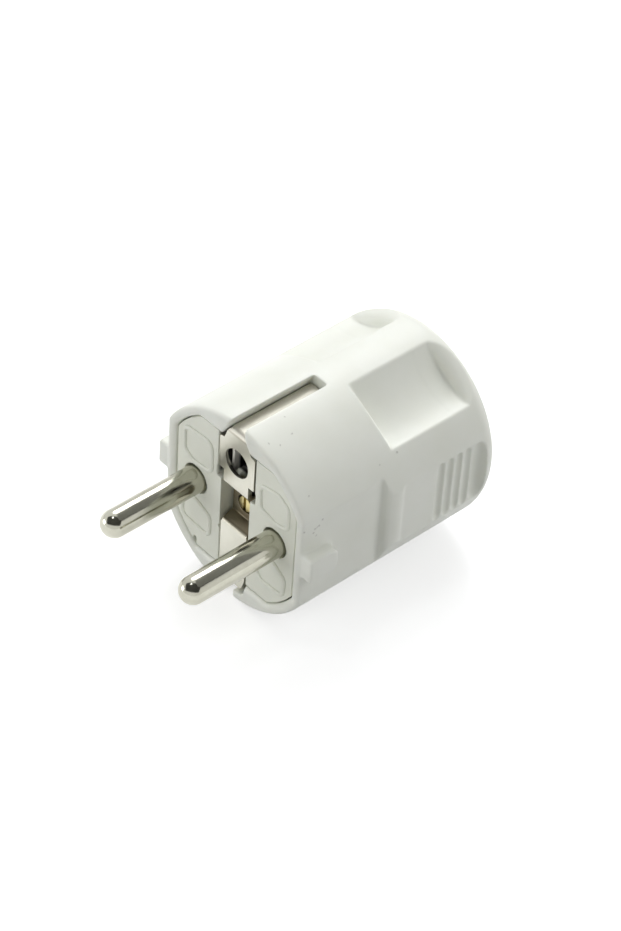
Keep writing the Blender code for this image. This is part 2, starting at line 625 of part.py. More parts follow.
def insert_cutters():
    """The channel for the bracket, the recess, the clip's pocket, and the holes."""
    before = -OVERRUN
    wide, narrow = UPPER_PLATE_HALF_WIDTH + GAP, LOWER_PLATE_HALF_WIDTH + GAP
    edge = SLOT_STRIP_Z + OVERRUN
    step = CHANNEL_STEP_Z
    channel = mirrored_points([(wide, edge), (wide, step), (narrow, step), (narrow, -edge)])
    recess, notch = RECESS_HALF_WIDTH, NOTCH_HALF_WIDTH
    low, top = LOWER_STEP_FRONT_Z - STRIP_THICKNESS, CHANNEL_STEP_Z - GAP
    hollow = mirrored_points([(notch, NOTCH_TOP_Z), (notch, top), (recess, top), (recess, low)])
    clip_x = CLIP_MOUTH_HALF_WIDTH + CLIP_THICKNESS / 2 + GAP
    clip_z = (CLIP_LOW_Z - GAP, POCKET_TOP_Z)
    collar_end = COLLAR_FRONT + SCREW_COLLAR_THICKNESS + GAP
    tools = [
        extruded("channel_cut", channel, "Y", before, CHANNEL_DEPTH),
        extruded("recess_cut", hollow, "Y", before, RECESS_CUT_DEPTH),
        box("clip_pocket_cut", (-clip_x, clip_x), (0, CHIMNEY_END + OVERRUN), clip_z),
        straight_bore("screw_bore_cut", SCREW_RADIUS + GAP, "Y", (0, 0, 0), 0, HUB_END + OVERRUN),
        straight_bore("collar_bore_cut", SCREW_COLLAR_RADIUS + GAP, "Y", (0, 0, 0), 0, collar_end),
    ]
    key_x = (-KEY_NOTCH_X - KEY_NOTCH_HALF_WIDTH, -KEY_NOTCH_X + KEY_NOTCH_HALF_WIDTH)
    key_z = (-edge, -INSERT_HALF_HEIGHT + KEY_NOTCH_DEPTH)
    tools.append(box("key_notch_cut", key_x, (before, CHANNEL_DEPTH), key_z))
    for side in (-1, 1):
        pin = (side * PIN_PITCH / 2, 0, 0)
        seat = PIN_COLLAR_FRONT - GAP
        tools.append(straight_bore(f"pin_bore_cut_{side}", PIN_RADIUS + GAP, "Y", pin, before, seat + GAP))
        collar, seat_end = PIN_COLLAR_RADIUS + GAP, BLOCK_FRONT - GAP / 2
        tools.append(straight_bore(f"pin_seat_cut_{side}", collar, "Y", pin, seat, seat_end))
        clamp = (side * CLAMP_SCREW_X, CLAMP_CENTRE_Y, 0)
        bore, low = CLAMP_SCREW_RADIUS + GAP, CLAMP_BOSS_LOW_Z - OVERRUN
        tools.append(straight_bore(f"clamp_bore_cut_{side}", bore, "Z", clamp, low, CLAMP_NUT_LOW_Z))
        pocket_z = (CLAMP_NUT_LOW_Z - GAP, SADDLE_OUTER_RADIUS + OVERRUN)
        tools.append(clamp_block(f"clamp_nut_cut_{side}", side, CLAMP_NUT_HALF_WIDTH + GAP, pocket_z))
    return tools


def front_insert(material):
    outline = seat_outline(INSERT_RADIUS, INSERT_HALF_WIDTH, INSERT_HALF_HEIGHT)
    insert = extruded("front_insert", outline, "Y", 0, INSERT_THICKNESS, material)
    for piece in insert_body_pieces():
        join(insert, piece)
    for tool in insert_cutters():
        cut(insert, tool)
    return insert


def pin(name, side, material):
    tip = -PIN_LENGTH + PIN_RADIUS
    dome = [
        (PIN_RADIUS * math.sin(turn), tip - PIN_RADIUS * math.cos(turn))
        for turn in [math.pi / 2 * i / TIP_STEPS for i in range(TIP_STEPS + 1)]
    ]
    collar_end = PIN_COLLAR_FRONT + PIN_COLLAR_THICKNESS
    stub_end = collar_end + PIN_STUB_LENGTH
    profile = dome + [
        (PIN_RADIUS, PIN_COLLAR_FRONT),
        (PIN_COLLAR_RADIUS, PIN_COLLAR_FRONT),
        (PIN_COLLAR_RADIUS, collar_end),
        (PIN_STUB_RADIUS, collar_end),
        (PIN_STUB_RADIUS, stub_end),
    ]
    return turned(name, profile, "Y", (side * PIN_PITCH / 2, 0, 0), PIN_STEPS, material)


def break_edges(target, width):
    """Takes the sharpness off every edge of a machined or moulded piece."""
    rounding = target.modifiers.new("Edge_break", "BEVEL")
    rounding.width = width
    rounding.segments = 1
    rounding.limit_method = "ANGLE"
    rounding.angle_limit = SMOOTH_ANGLE


def terminal_block(name, side, material):
    x = side * PIN_PITCH / 2
    block_x = (x - BLOCK_HALF_WIDTH, x + BLOCK_HALF_WIDTH)
    block = box(name, block_x, (BLOCK_FRONT, BLOCK_END), (-BLOCK_HALF_HEIGHT, BLOCK_HALF_HEIGHT), material)
    break_edges(block, EDGE_BREAK)
    centre = (x, 0, 0)
    stub_end = PIN_COLLAR_FRONT + PIN_COLLAR_THICKNESS + PIN_STUB_LENGTH + GAP
    stub_radius = PIN_STUB_RADIUS + GAP
    cut(block, straight_bore(f"stub_cut_{side}", stub_radius, "Y", centre, BLOCK_FRONT - OVERRUN, stub_end))
    wire_y = (BLOCK_END - WIRE_HOLE_DEPTH, BLOCK_END + OVERRUN)
    cut(block, straight_bore(f"wire_cut_{side}", WIRE_HOLE_RADIUS, "Y", centre, *wire_y))
    screw_at = (x, BLOCK_END - TERMINAL_SCREW_SETBACK, 0)
    thread, top = TERMINAL_SCREW_RADIUS + GAP, BLOCK_HALF_HEIGHT + OVERRUN
    cut(block, straight_bore(f"terminal_thread_cut_{side}", thread, "Z", screw_at, 0, top))
    return block


def slotted_screw(name, material, axis, centre, seat, direction, sizes):
    """A cheese-head screw. It lies with its head's underside at the seat, head towards direction."""
    radius, length, head_radius, head_height = sizes
    head_top = seat + direction * head_height
    tip = seat - direction * length
    profile = [
        (radius - SCREW_POINT, tip),
        (radius, tip + direction * SCREW_POINT),
        (radius, seat),
        (head_radius, seat),
        (head_radius, head_top - direction * EDGE_BREAK),
        (head_radius - EDGE_BREAK, head_top),
    ]
    screw = turned(name, profile, axis, centre, SCREW_STEPS, material)
    spans = {"X": None, "Y": None, "Z": None}
    cross = [letter for letter in "XYZ" if letter != axis]
    spans[axis] = sorted((head_top - direction * SCREW_SLOT_DEPTH, head_top + direction * OVERRUN))
    along, over = cross
    middle = dict(zip("XYZ", centre))
    reach = head_radius + OVERRUN
    spans[along] = [middle[along] - reach, middle[along] + reach]
    spans[over] = [middle[over] - SCREW_SLOT_HALF_WIDTH, middle[over] + SCREW_SLOT_HALF_WIDTH]
    cut(screw, box(name + "_slot_cut", spans["X"], spans["Y"], spans["Z"]))
    return screw


def terminal_screw(name, side, material):
    centre = (side * PIN_PITCH / 2, BLOCK_END - TERMINAL_SCREW_SETBACK, 0)
    sizes = (TERMINAL_SCREW_RADIUS, TERMINAL_SCREW_LENGTH, TERMINAL_HEAD_RADIUS, TERMINAL_HEAD_HEIGHT)
    return slotted_screw(name, material, "Z", centre, BLOCK_HALF_HEIGHT + GAP, 1, sizes)


def rounded_path(corners):
    """The corner list (point, bend radius) as one line of points with arcs in the bends."""
    points = [Vector(corners[0][0])]
    for i in range(1, len(corners) - 1):
        corner, radius = Vector(corners[i][0]), corners[i][1]
        back = (Vector(corners[i - 1][0]) - corner).normalized()
        ahead = (Vector(corners[i + 1][0]) - corner).normalized()
        half = back.angle(ahead) / 2
        reach = radius / math.tan(half)
        middle = corner + (back + ahead).normalized() * (radius / math.sin(half))
        start, end = corner + back * reach - middle, corner + ahead * reach - middle
        sweep = start.angle_signed(end)
        for step in range(BEND_STEPS + 1):
            turn = -sweep * step / BEND_STEPS
            points.append(middle + Matrix.Rotation(turn, 2) @ start)
    points.append(Vector(corners[-1][0]))
    return points


def strip_outline(path, thickness):
    """The edge view of a strip: its centre line moved out by half the thickness on both sides."""
    left, right = [], []
    for i, point in enumerate(path):
        behind = path[max(i - 1, 0)]
        ahead = path[min(i + 1, len(path) - 1)]
        incoming = (point - behind) if i else (ahead - point)
        outgoing = (ahead - point) if i < len(path) - 1 else incoming
        incoming, outgoing = incoming.normalized(), outgoing.normalized()
        tangent = (incoming + outgoing).normalized()
        normal = Vector((-tangent.y, tangent.x))
        stretch = thickness / 2 / max(math.cos(incoming.angle(outgoing) / 2), math.cos(SMOOTH_ANGLE))
        left.append(point + normal * stretch)
        right.append(point - normal * stretch)
    return [tuple(point) for point in left + right[::-1]]


def bracket_path():
    """Centre line of the earth bracket as (y, z): contact, face plate, recess, face plate, contact."""
    half = STRIP_THICKNESS / 2
    contact = SLOT_STRIP_Z - half
    floor = RECESS_DEPTH + half
    corners = [
        ((STRIP_REAR, contact), 0),
        ((half, contact), MAIN_BEND_RADIUS),
        ((half, UPPER_STEP_Z + half), STEP_BEND_RADIUS),
        ((floor, UPPER_STEP_Z + half), STEP_BEND_RADIUS),
        ((floor, LOWER_STEP_REAR_Z), STEP_BEND_RADIUS),
        ((half, LOWER_STEP_FRONT_Z), STEP_BEND_RADIUS),
        ((half, -contact), MAIN_BEND_RADIUS),
        ((STRIP_REAR, -contact), 0),
    ]
    return rounded_path(corners)


def bracket_front_view():
    """The strip's widths seen from the front, top to bottom, right half first."""
    over = SLOT_STRIP_Z + OVERRUN
    narrowed = SLOT_STRIP_Z - STRIP_THICKNESS / 2
    right = [
        (STRIP_HALF_WIDTH, over),
        (STRIP_HALF_WIDTH, narrowed),
        (UPPER_PLATE_HALF_WIDTH - GAP, INSERT_HALF_HEIGHT),
        (UPPER_PLATE_HALF_WIDTH, INSERT_HALF_HEIGHT - GAP),
        (UPPER_PLATE_HALF_WIDTH, UPPER_PLATE_LOW_Z),
        (NECK_PLATE_HALF_WIDTH, UPPER_PLATE_LOW_Z),
        (NECK_PLATE_HALF_WIDTH, LOWER_STEP_FRONT_Z),
        (LOWER_PLATE_HALF_WIDTH, LOWER_STEP_FRONT_Z - GAP),
        (LOWER_PLATE_HALF_WIDTH, -INSERT_HALF_HEIGHT),
        (STRIP_HALF_WIDTH, -narrowed),
        (STRIP_HALF_WIDTH, -over),
    ]
    return mirrored_points(right)


def earth_bracket(material):
    side_view = strip_outline(bracket_path(), STRIP_THICKNESS)
    reach = UPPER_PLATE_HALF_WIDTH + OVERRUN
    bracket = extruded("earth_bracket", side_view, "X", -reach, reach, material)
    blank = extruded("bracket_blank", bracket_front_view(), "Y", -OVERRUN, STRIP_REAR + OVERRUN)
    boolean(bracket, blank, "INTERSECT")
    hole_at = (0, 0, EARTH_HOLE_Z)
    hole = [(EARTH_HOLE_RADIUS, -OVERRUN), (EARTH_HOLE_RADIUS, CHANNEL_DEPTH)]
    cut(bracket, turned("earth_hole_cut", hole, "Y", hole_at, ROUND_STEPS))
    face_hole = SCREW_FACE_RADIUS + GAP
    cut(bracket, straight_bore("screw_face_cut", face_hole, "Y", (0, 0, 0), 0, RECESS_CUT_DEPTH + OVERRUN))
    return bracket


def earth_pin_clip(material):
    back = CLIP_BACK - CLIP_THICKNESS / 2
    waist = CLIP_FRONT + CLIP_WAIST_SETBACK
    pinch = CLIP_FRONT + CLIP_PINCH_SETBACK
    right = [
        ((CLIP_MOUTH_HALF_WIDTH, CLIP_FRONT), 0),
        ((CLIP_PINCH_HALF_WIDTH, pinch), CLIP_BEND_RADIUS),
        ((CLIP_BACK_HALF_WIDTH, waist), CLIP_BEND_RADIUS),
        ((CLIP_BACK_HALF_WIDTH, back), CLIP_BEND_RADIUS),
    ]
    corners = right + [((-x, y), radius) for (x, y), radius in reversed(right)]
    outline = strip_outline(rounded_path(corners), CLIP_THICKNESS)
    clip = extruded("earth_pin_clip", outline, "Z", CLIP_LOW_Z, CLIP_TOP_Z, material)
    middle = (0, 0, EARTH_HOLE_Z)
    boss_front = CLIP_BACK - CLIP_THICKNESS - CLIP_BOSS_LENGTH
    boss_end = CLIP_BACK - CLIP_THICKNESS / 2
    join(clip, straight_bore("clip_boss", CLIP_BOSS_RADIUS, "Y", middle, boss_front, boss_end))
    bore = EARTH_SCREW_RADIUS + GAP
    cut(clip, straight_bore("clip_thread_cut", bore, "Y", middle, boss_front - OVERRUN, CLIP_BACK + OVERRUN))
    return clip


def earth_terminal_washer(material):
    """A square saddle washer whose two lips hold the wire under the screw."""
    half, lip = WASHER_HALF_WIDTH, WASHER_LIP
    front = WASHER_FRONT
    outline = [
        (-half, front - lip + GAP), (-half + lip, front - lip + GAP), (-half + lip, front),
        (half - lip, front), (half - lip, front - lip + GAP), (half, front - lip + GAP),
        (half, WASHER_BACK), (-half, WASHER_BACK),
    ]
    low, high = EARTH_HOLE_Z - CLIP_RISE, EARTH_HOLE_Z + CLIP_RISE
    washer = extruded("earth_terminal_washer", [(x, y + lip) for x, y in outline], "Z", low, high, material)
    bore = EARTH_SCREW_RADIUS + GAP
    reach = WASHER_BACK + lip + OVERRUN
    cut(washer, straight_bore("washer_bore_cut", bore, "Y", (0, 0, EARTH_HOLE_Z), CLIP_BACK, reach))
    return washer


def earth_terminal_screw(material):
    seat, middle = EARTH_SCREW_SEAT, (0, 0, EARTH_HOLE_Z)
    length = seat - (CLIP_BACK - CLIP_THICKNESS - CLIP_BOSS_LENGTH) + EARTH_SCREW_TIP
    sizes = (EARTH_SCREW_RADIUS, length, EARTH_HEAD_RADIUS, EARTH_HEAD_HEIGHT)
    return slotted_screw("earth_terminal_screw", material, "Y", middle, seat, 1, sizes)


def assembly_screw(material):
    """A collar screw: its slotted end stands in the bracket's hole and its collar lies behind it."""
    face = RECESS_DEPTH - SCREW_FACE_SETBACK
    collar_end = COLLAR_FRONT + SCREW_COLLAR_THICKNESS
    profile = [
        (SCREW_FACE_RADIUS - EDGE_BREAK, face),
        (SCREW_FACE_RADIUS, face + EDGE_BREAK),
        (SCREW_FACE_RADIUS, COLLAR_FRONT),
        (SCREW_COLLAR_RADIUS, COLLAR_FRONT),
        (SCREW_COLLAR_RADIUS, collar_end),
        (SCREW_RADIUS, collar_end),
        (SCREW_RADIUS, SCREW_END - SCREW_POINT),
        (SCREW_RADIUS - SCREW_POINT, SCREW_END),
    ]
    screw = turned("assembly_screw", profile, "Y", (0, 0, 0), SCREW_STEPS, material)
    slot_x = (-SCREW_SLOT_HALF_WIDTH, SCREW_SLOT_HALF_WIDTH)
    reach = SCREW_FACE_RADIUS + OVERRUN
    cut(screw, box("assembly_slot_cut", slot_x, (face - OVERRUN, face + SCREW_SLOT_DEPTH), (-reach, reach)))
    return screw


def assembly_nut(material):
    half = NUT_HALF_WIDTH
    nut = box("assembly_nut", (-half, half), (NUT_FRONT, NUT_FRONT + NUT_THICKNESS), (-half, half), material)
    break_edges(nut, EDGE_BREAK)
    bore_y = (NUT_FRONT - OVERRUN, NUT_FRONT + NUT_THICKNESS + OVERRUN)
    cut(nut, straight_bore("nut_bore_cut", SCREW_RADIUS + GAP, "Y", (0, 0, 0), *bore_y))
    return nut


def cord_clamp_bar(material):
    bar_y = (CLAMP_CENTRE_Y - BAR_HALF_WIDTH, CLAMP_CENTRE_Y + BAR_HALF_WIDTH)
    top = BAR_LOW_Z + BAR_THICKNESS
    bar = box("cord_clamp_bar", (-BAR_HALF_LENGTH, BAR_HALF_LENGTH), bar_y, (BAR_LOW_Z, top), material)
    break_edges(bar, EDGE_BREAK)
    ridge_x = (-BAR_RIDGE_HALF_LENGTH, BAR_RIDGE_HALF_LENGTH)
    for side in (-1, 1):
        y = CLAMP_CENTRE_Y + side * BAR_RIDGE_SPACING
        ridge_y = (y - BAR_RIDGE_HALF_WIDTH, y + BAR_RIDGE_HALF_WIDTH)
        ridge_z = (top - BAR_RIDGE_HEIGHT, top + BAR_RIDGE_HEIGHT)
        join(bar, box(f"bar_ridge_{side}", ridge_x, ridge_y, ridge_z))
        centre = (side * CLAMP_SCREW_X, CLAMP_CENTRE_Y, 0)
        bore = CLAMP_SCREW_RADIUS + GAP
        bore_z = (BAR_LOW_Z - OVERRUN, top + OVERRUN)
        cut(bar, straight_bore(f"bar_bore_cut_{side}", bore, "Z", centre, *bore_z))
    return bar


def cord_clamp_screw(name, side, material):
    centre = (side * CLAMP_SCREW_X, CLAMP_CENTRE_Y, 0)
    sizes = (CLAMP_SCREW_RADIUS, CLAMP_SCREW_LENGTH, CLAMP_HEAD_RADIUS, CLAMP_HEAD_HEIGHT)
    return slotted_screw(name, material, "Z", centre, BAR_LOW_Z - GAP, -1, sizes)


def cord_clamp_nut(name, side, material):
    nut_z = (CLAMP_NUT_LOW_Z, CLAMP_NUT_LOW_Z + CLAMP_NUT_THICKNESS)
    nut = clamp_block(name, side, CLAMP_NUT_HALF_WIDTH, nut_z, material)
    centre = (side * CLAMP_SCREW_X, CLAMP_CENTRE_Y, 0)
    low, high = CLAMP_NUT_LOW_Z - OVERRUN, nut_z[1] + OVERRUN
    cut(nut, straight_bore(f"clamp_nut_bore_cut_{side}", CLAMP_SCREW_RADIUS + GAP, "Z", centre, low, high))
    return nut


def build_plug():
    for old in list(bpy.data.objects):
        bpy.data.objects.remove(old, do_unlink=True)
    root = bpy.data.objects.new("plug_root", None)
    root.location = (0, -MID_LENGTH, FOOT_DEPTH)
    bpy.context.scene.collection.objects.link(root)

    shell_white = make_material("shell_plastic", (0.86, 0.87, 0.84), 0.42, 0)
    insert_white = make_material("insert_plastic", (0.80, 0.81, 0.78), 0.45, 0)
    nickel = make_material("nickel_plate", (0.66, 0.63, 0.56), 0.2, 1)
    strip_metal = make_material("strip_metal", (0.70, 0.68, 0.62), 0.35, 1)
    spring_metal = make_material("spring_metal", (0.72, 0.71, 0.68), 0.25, 1)
    brass = make_material("brass", (0.78, 0.62, 0.30), 0.3, 1)
    steel = make_material("zinc_steel", (0.62, 0.63, 0.64), 0.35, 1)

    outer_shell(shell_white)
    front_insert(insert_white)
    for word, side in (("left", -1), ("right", 1)):
        pin("pin_" + word, side, nickel)
        terminal_block("terminal_block_" + word, side, brass)
        terminal_screw("terminal_screw_" + word, side, steel)
        cord_clamp_screw("cord_clamp_screw_" + word, side, steel)
        cord_clamp_nut("cord_clamp_nut_" + word, side, steel)
    earth_bracket(strip_metal)
    earth_pin_clip(spring_metal)
    earth_terminal_washer(steel)
    earth_terminal_screw(steel)
    assembly_screw(brass)
    assembly_nut(brass)
    cord_clamp_bar(insert_white)


build_plug()
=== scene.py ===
import math

import bpy
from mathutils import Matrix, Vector


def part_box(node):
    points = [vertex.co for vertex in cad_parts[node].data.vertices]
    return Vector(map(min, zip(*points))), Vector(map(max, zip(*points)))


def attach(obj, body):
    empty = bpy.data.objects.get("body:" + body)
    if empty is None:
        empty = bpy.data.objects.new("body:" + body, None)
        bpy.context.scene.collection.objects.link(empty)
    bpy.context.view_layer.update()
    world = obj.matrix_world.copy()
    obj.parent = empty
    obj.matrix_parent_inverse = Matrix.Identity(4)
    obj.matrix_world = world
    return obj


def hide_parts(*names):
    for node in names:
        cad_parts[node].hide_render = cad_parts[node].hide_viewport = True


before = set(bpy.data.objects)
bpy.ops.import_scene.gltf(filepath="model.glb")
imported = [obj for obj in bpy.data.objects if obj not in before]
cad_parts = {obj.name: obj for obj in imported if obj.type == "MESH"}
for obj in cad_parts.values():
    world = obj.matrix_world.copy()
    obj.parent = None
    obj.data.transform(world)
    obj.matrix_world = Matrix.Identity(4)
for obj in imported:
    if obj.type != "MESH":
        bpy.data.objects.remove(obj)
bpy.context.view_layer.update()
print("frame loaded:", len(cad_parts), "nodes")

# All modelling below is in millimetres in the plug's own axes: X across the pins,
# Y from the insert's face to the cable end, Z up. The pins say where that is in the frame.
mm = 0.001
pinReach = 19.0
past = 1.5  # how far a block or cutter runs on beyond the face that it meets
weldWithin = 0.002
smoothAngle = 35
pinLow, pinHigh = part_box("pin_right")
plugSpot = Vector((0, pinLow.y + pinReach * mm, (pinLow.z + pinHigh.z) / 2))


def activate(thing):
    bpy.ops.object.select_all(action="DESELECT")
    thing.select_set(True)
    bpy.context.view_layer.objects.active = thing


def spot(along, a, b, height):  # a point of an outline, put on the plane across X, Y or Z
    places = {"X": (height, a, b), "Y": (a, height, b), "Z": (a, b, height)}
    return Vector(places[along]) * mm


def closeUp(thing):  # merges what touches, turns every face outwards and leaves edit mode
    bpy.ops.mesh.select_all(action="SELECT")
    bpy.ops.mesh.remove_doubles(threshold=weldWithin * mm)
    bpy.ops.mesh.normals_make_consistent(inside=False)
    bpy.ops.object.mode_set(mode="OBJECT")
    return thing


def outlineBlock(name, points, along, low, high):
    bpy.ops.object.select_all(action="DESELECT")
    bpy.ops.mesh.primitive_circle_add(vertices=len(points), radius=mm, fill_type="NGON")
    block = bpy.context.active_object
    block.name = name
    for corner, (a, b) in zip(block.data.vertices, points):
        corner.co = spot(along, a, b, low)
    bpy.ops.object.mode_set(mode="EDIT")
    bpy.ops.mesh.select_all(action="SELECT")
    rise = spot(along, 0, 0, high - low)
    bpy.ops.mesh.extrude_region_move(TRANSFORM_OT_translate={"value": rise})
    return closeUp(block)


def plainBlock(name, xSpan, ySpan, zSpan):
    (left, right), (low, high) = xSpan, zSpan
    corners = [(left, low), (right, low), (right, high), (left, high)]
    return outlineBlock(name, corners, "Y", *ySpan)


def roundStack(name, stations, sides, along="Y", centre=(0, 0, 0)):  # of (height, radius) stations
    bpy.ops.object.select_all(action="DESELECT")
    height, radius = stations[0]
    bpy.ops.mesh.primitive_circle_add(
        vertices=sides, radius=radius * mm, fill_type="NGON", location=(0, 0, height * mm))
    stack = bpy.context.active_object
    stack.name = name
    bpy.ops.object.transform_apply(location=True, rotation=True, scale=True)
    bpy.ops.object.mode_set(mode="EDIT")
    bpy.ops.mesh.select_all(action="SELECT")
    for newHeight, newRadius in stations[1:]:
        rise = (0, 0, (newHeight - height) * mm)
        bpy.ops.mesh.extrude_region_move(TRANSFORM_OT_translate={"value": rise})
        share = newRadius / radius
        if abs(share - 1) > 1e-6:
            middle = (0, 0, newHeight * mm)
            bpy.ops.transform.resize(value=(share, share, 1), center_override=middle)
        height, radius = newHeight, newRadius
    closeUp(stack)
    turns = {"Y": (-math.pi / 2, 0, 0), "Z": (0, 0, 0)}
    stack.rotation_euler = turns[along]
    stack.location = Vector(centre) * mm
    bpy.ops.object.transform_apply(location=True, rotation=True, scale=True)
    return stack


def trim(thing, point, normal):  # keeps what lies on the normal's side of the plane
    activate(thing)
    bpy.ops.object.mode_set(mode="EDIT")
    bpy.ops.mesh.select_all(action="SELECT")
    bpy.ops.mesh.bisect(
        plane_co=Vector(point) * mm, plane_no=normal, use_fill=True, clear_inner=True)
    return closeUp(thing)


def mirrored(thing, name, axis):  # a copy turned over through the plug's middle
    activate(thing)
    bpy.ops.object.duplicate()
    twin = bpy.context.active_object
    twin.name = name
    twin.scale[axis] = -1
    bpy.ops.object.transform_apply(location=True, rotation=True, scale=True)
    bpy.ops.object.mode_set(mode="EDIT")
    return closeUp(twin)


def applyStep(thing, step):
    activate(thing)
    bpy.ops.object.modifier_apply(modifier=step.name)


def carve(target, cutter, how="DIFFERENCE"):
    step = target.modifiers.new("carve", "BOOLEAN")
    step.operation = how
    step.solver = "EXACT"
    step.object = cutter
    applyStep(target, step)
    bpy.data.objects.remove(cutter, do_unlink=True)
    return target


def roundEdges(thing, width, segments, angle):
    step = thing.modifiers.new("edges", "BEVEL")
    step.width = width * mm
    step.segments = segments
    step.limit_method = "ANGLE"
    step.angle_limit = math.radians(angle)
    step.harden_normals = False
    applyStep(thing, step)
    return thing


def triangleCount(thing):
    return sum(len(face.vertices) - 2 for face in thing.data.polygons)


def soften(thing, skin):  # moulded edges: a fine skin, relaxed, then thinned
    step = thing.modifiers.new("skin", "REMESH")
    step.mode = "VOXEL"
    step.voxel_size = skin["voxel"] * mm
    applyStep(thing, step)
    step = thing.modifiers.new("relax", "SMOOTH")
    step.factor = 0.5
    step.iterations = skin["passes"]
    applyStep(thing, step)
    full = triangleCount(thing)
    if full > skin["triangles"]:
        step = thing.modifiers.new("thin", "DECIMATE")
        step.ratio = skin["triangles"] / full
        applyStep(thing, step)
    return thing


def arc(centre, radius, start, end, steps):  # angles in degrees
    turns = [math.radians(start + (end - start) * i / steps) for i in range(steps + 1)]
    return [(centre[0] + radius * math.cos(t), centre[1] + radius * math.sin(t)) for t in turns]


def bentLine(corners, steps=8):  # (point, bend radius) corners as one line with round bends
    points = [Vector(corners[0][0])]
    for i in range(1, len(corners) - 1):
        corner, radius = Vector(corners[i][0]), corners[i][1]
        back = (Vector(corners[i - 1][0]) - corner).normalized()
        ahead = (Vector(corners[i + 1][0]) - corner).normalized()
        half = back.angle(ahead) / 2
        reach = radius / math.tan(half)
        middle = corner + (back + ahead).normalized() * (radius / math.sin(half))
        start, end = corner + back * reach - middle, corner + ahead * reach - middle
        sweep = math.atan2(start.x * end.y - start.y * end.x, start.dot(end))
        for step in range(steps + 1):
            turn = sweep * step / steps
            cosine, sine = math.cos(turn), math.sin(turn)
            turned = (start.x * cosine - start.y * sine, start.x * sine + start.y * cosine)
            points.append(middle + Vector(turned))
    points.append(Vector(corners[-1][0]))
    return points


def bothSides(points):  # closes the right half of an outline, listed from the top, with its left half
    return points + [(-x, z) for x, z in reversed(points)]


def finishPiece(thing, material, node, evened=False):
    activate(thing)
    thing.location = plugSpot
    bpy.ops.object.transform_apply(location=True, rotation=True, scale=True)
    bpy.ops.object.shade_smooth_by_angle(angle=math.radians(smoothAngle))
    if evened:  # flat faces stay flat in their shading beside bevelled edges
        step = thing.modifiers.new("evened", "WEIGHTED_NORMAL")
        step.keep_sharp = True
        applyStep(thing, step)
    thing.data.materials.clear()
    thing.data.materials.append(material)
    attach(thing, "root")
    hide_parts(node)
    print(thing.name, "has", triangleCount(thing), "triangles")


# Camera at the photograph's viewing angle
cameraSet = {
    "place": (269.727, -261.366, 364.804),
    "turn": (47.530, -3.0225, 48.110),
    "lens": 123.8,
    "sensor": 36.0,
    "sees": (0.01, 10),
}
bpy.ops.object.camera_add(
    location=Vector(cameraSet["place"]) * mm,
    rotation=[math.radians(turn) for turn in cameraSet["turn"]])
camera = bpy.context.active_object
camera.name = "photoCamera"
camera.data.lens = cameraSet["lens"]
camera.data.sensor_width = cameraSet["sensor"]
camera.data.clip_start, camera.data.clip_end = cameraSet["sees"]
bpy.context.scene.camera = camera
bpy.context.scene.view_settings.view_transform = "Standard"
print("camera placed")


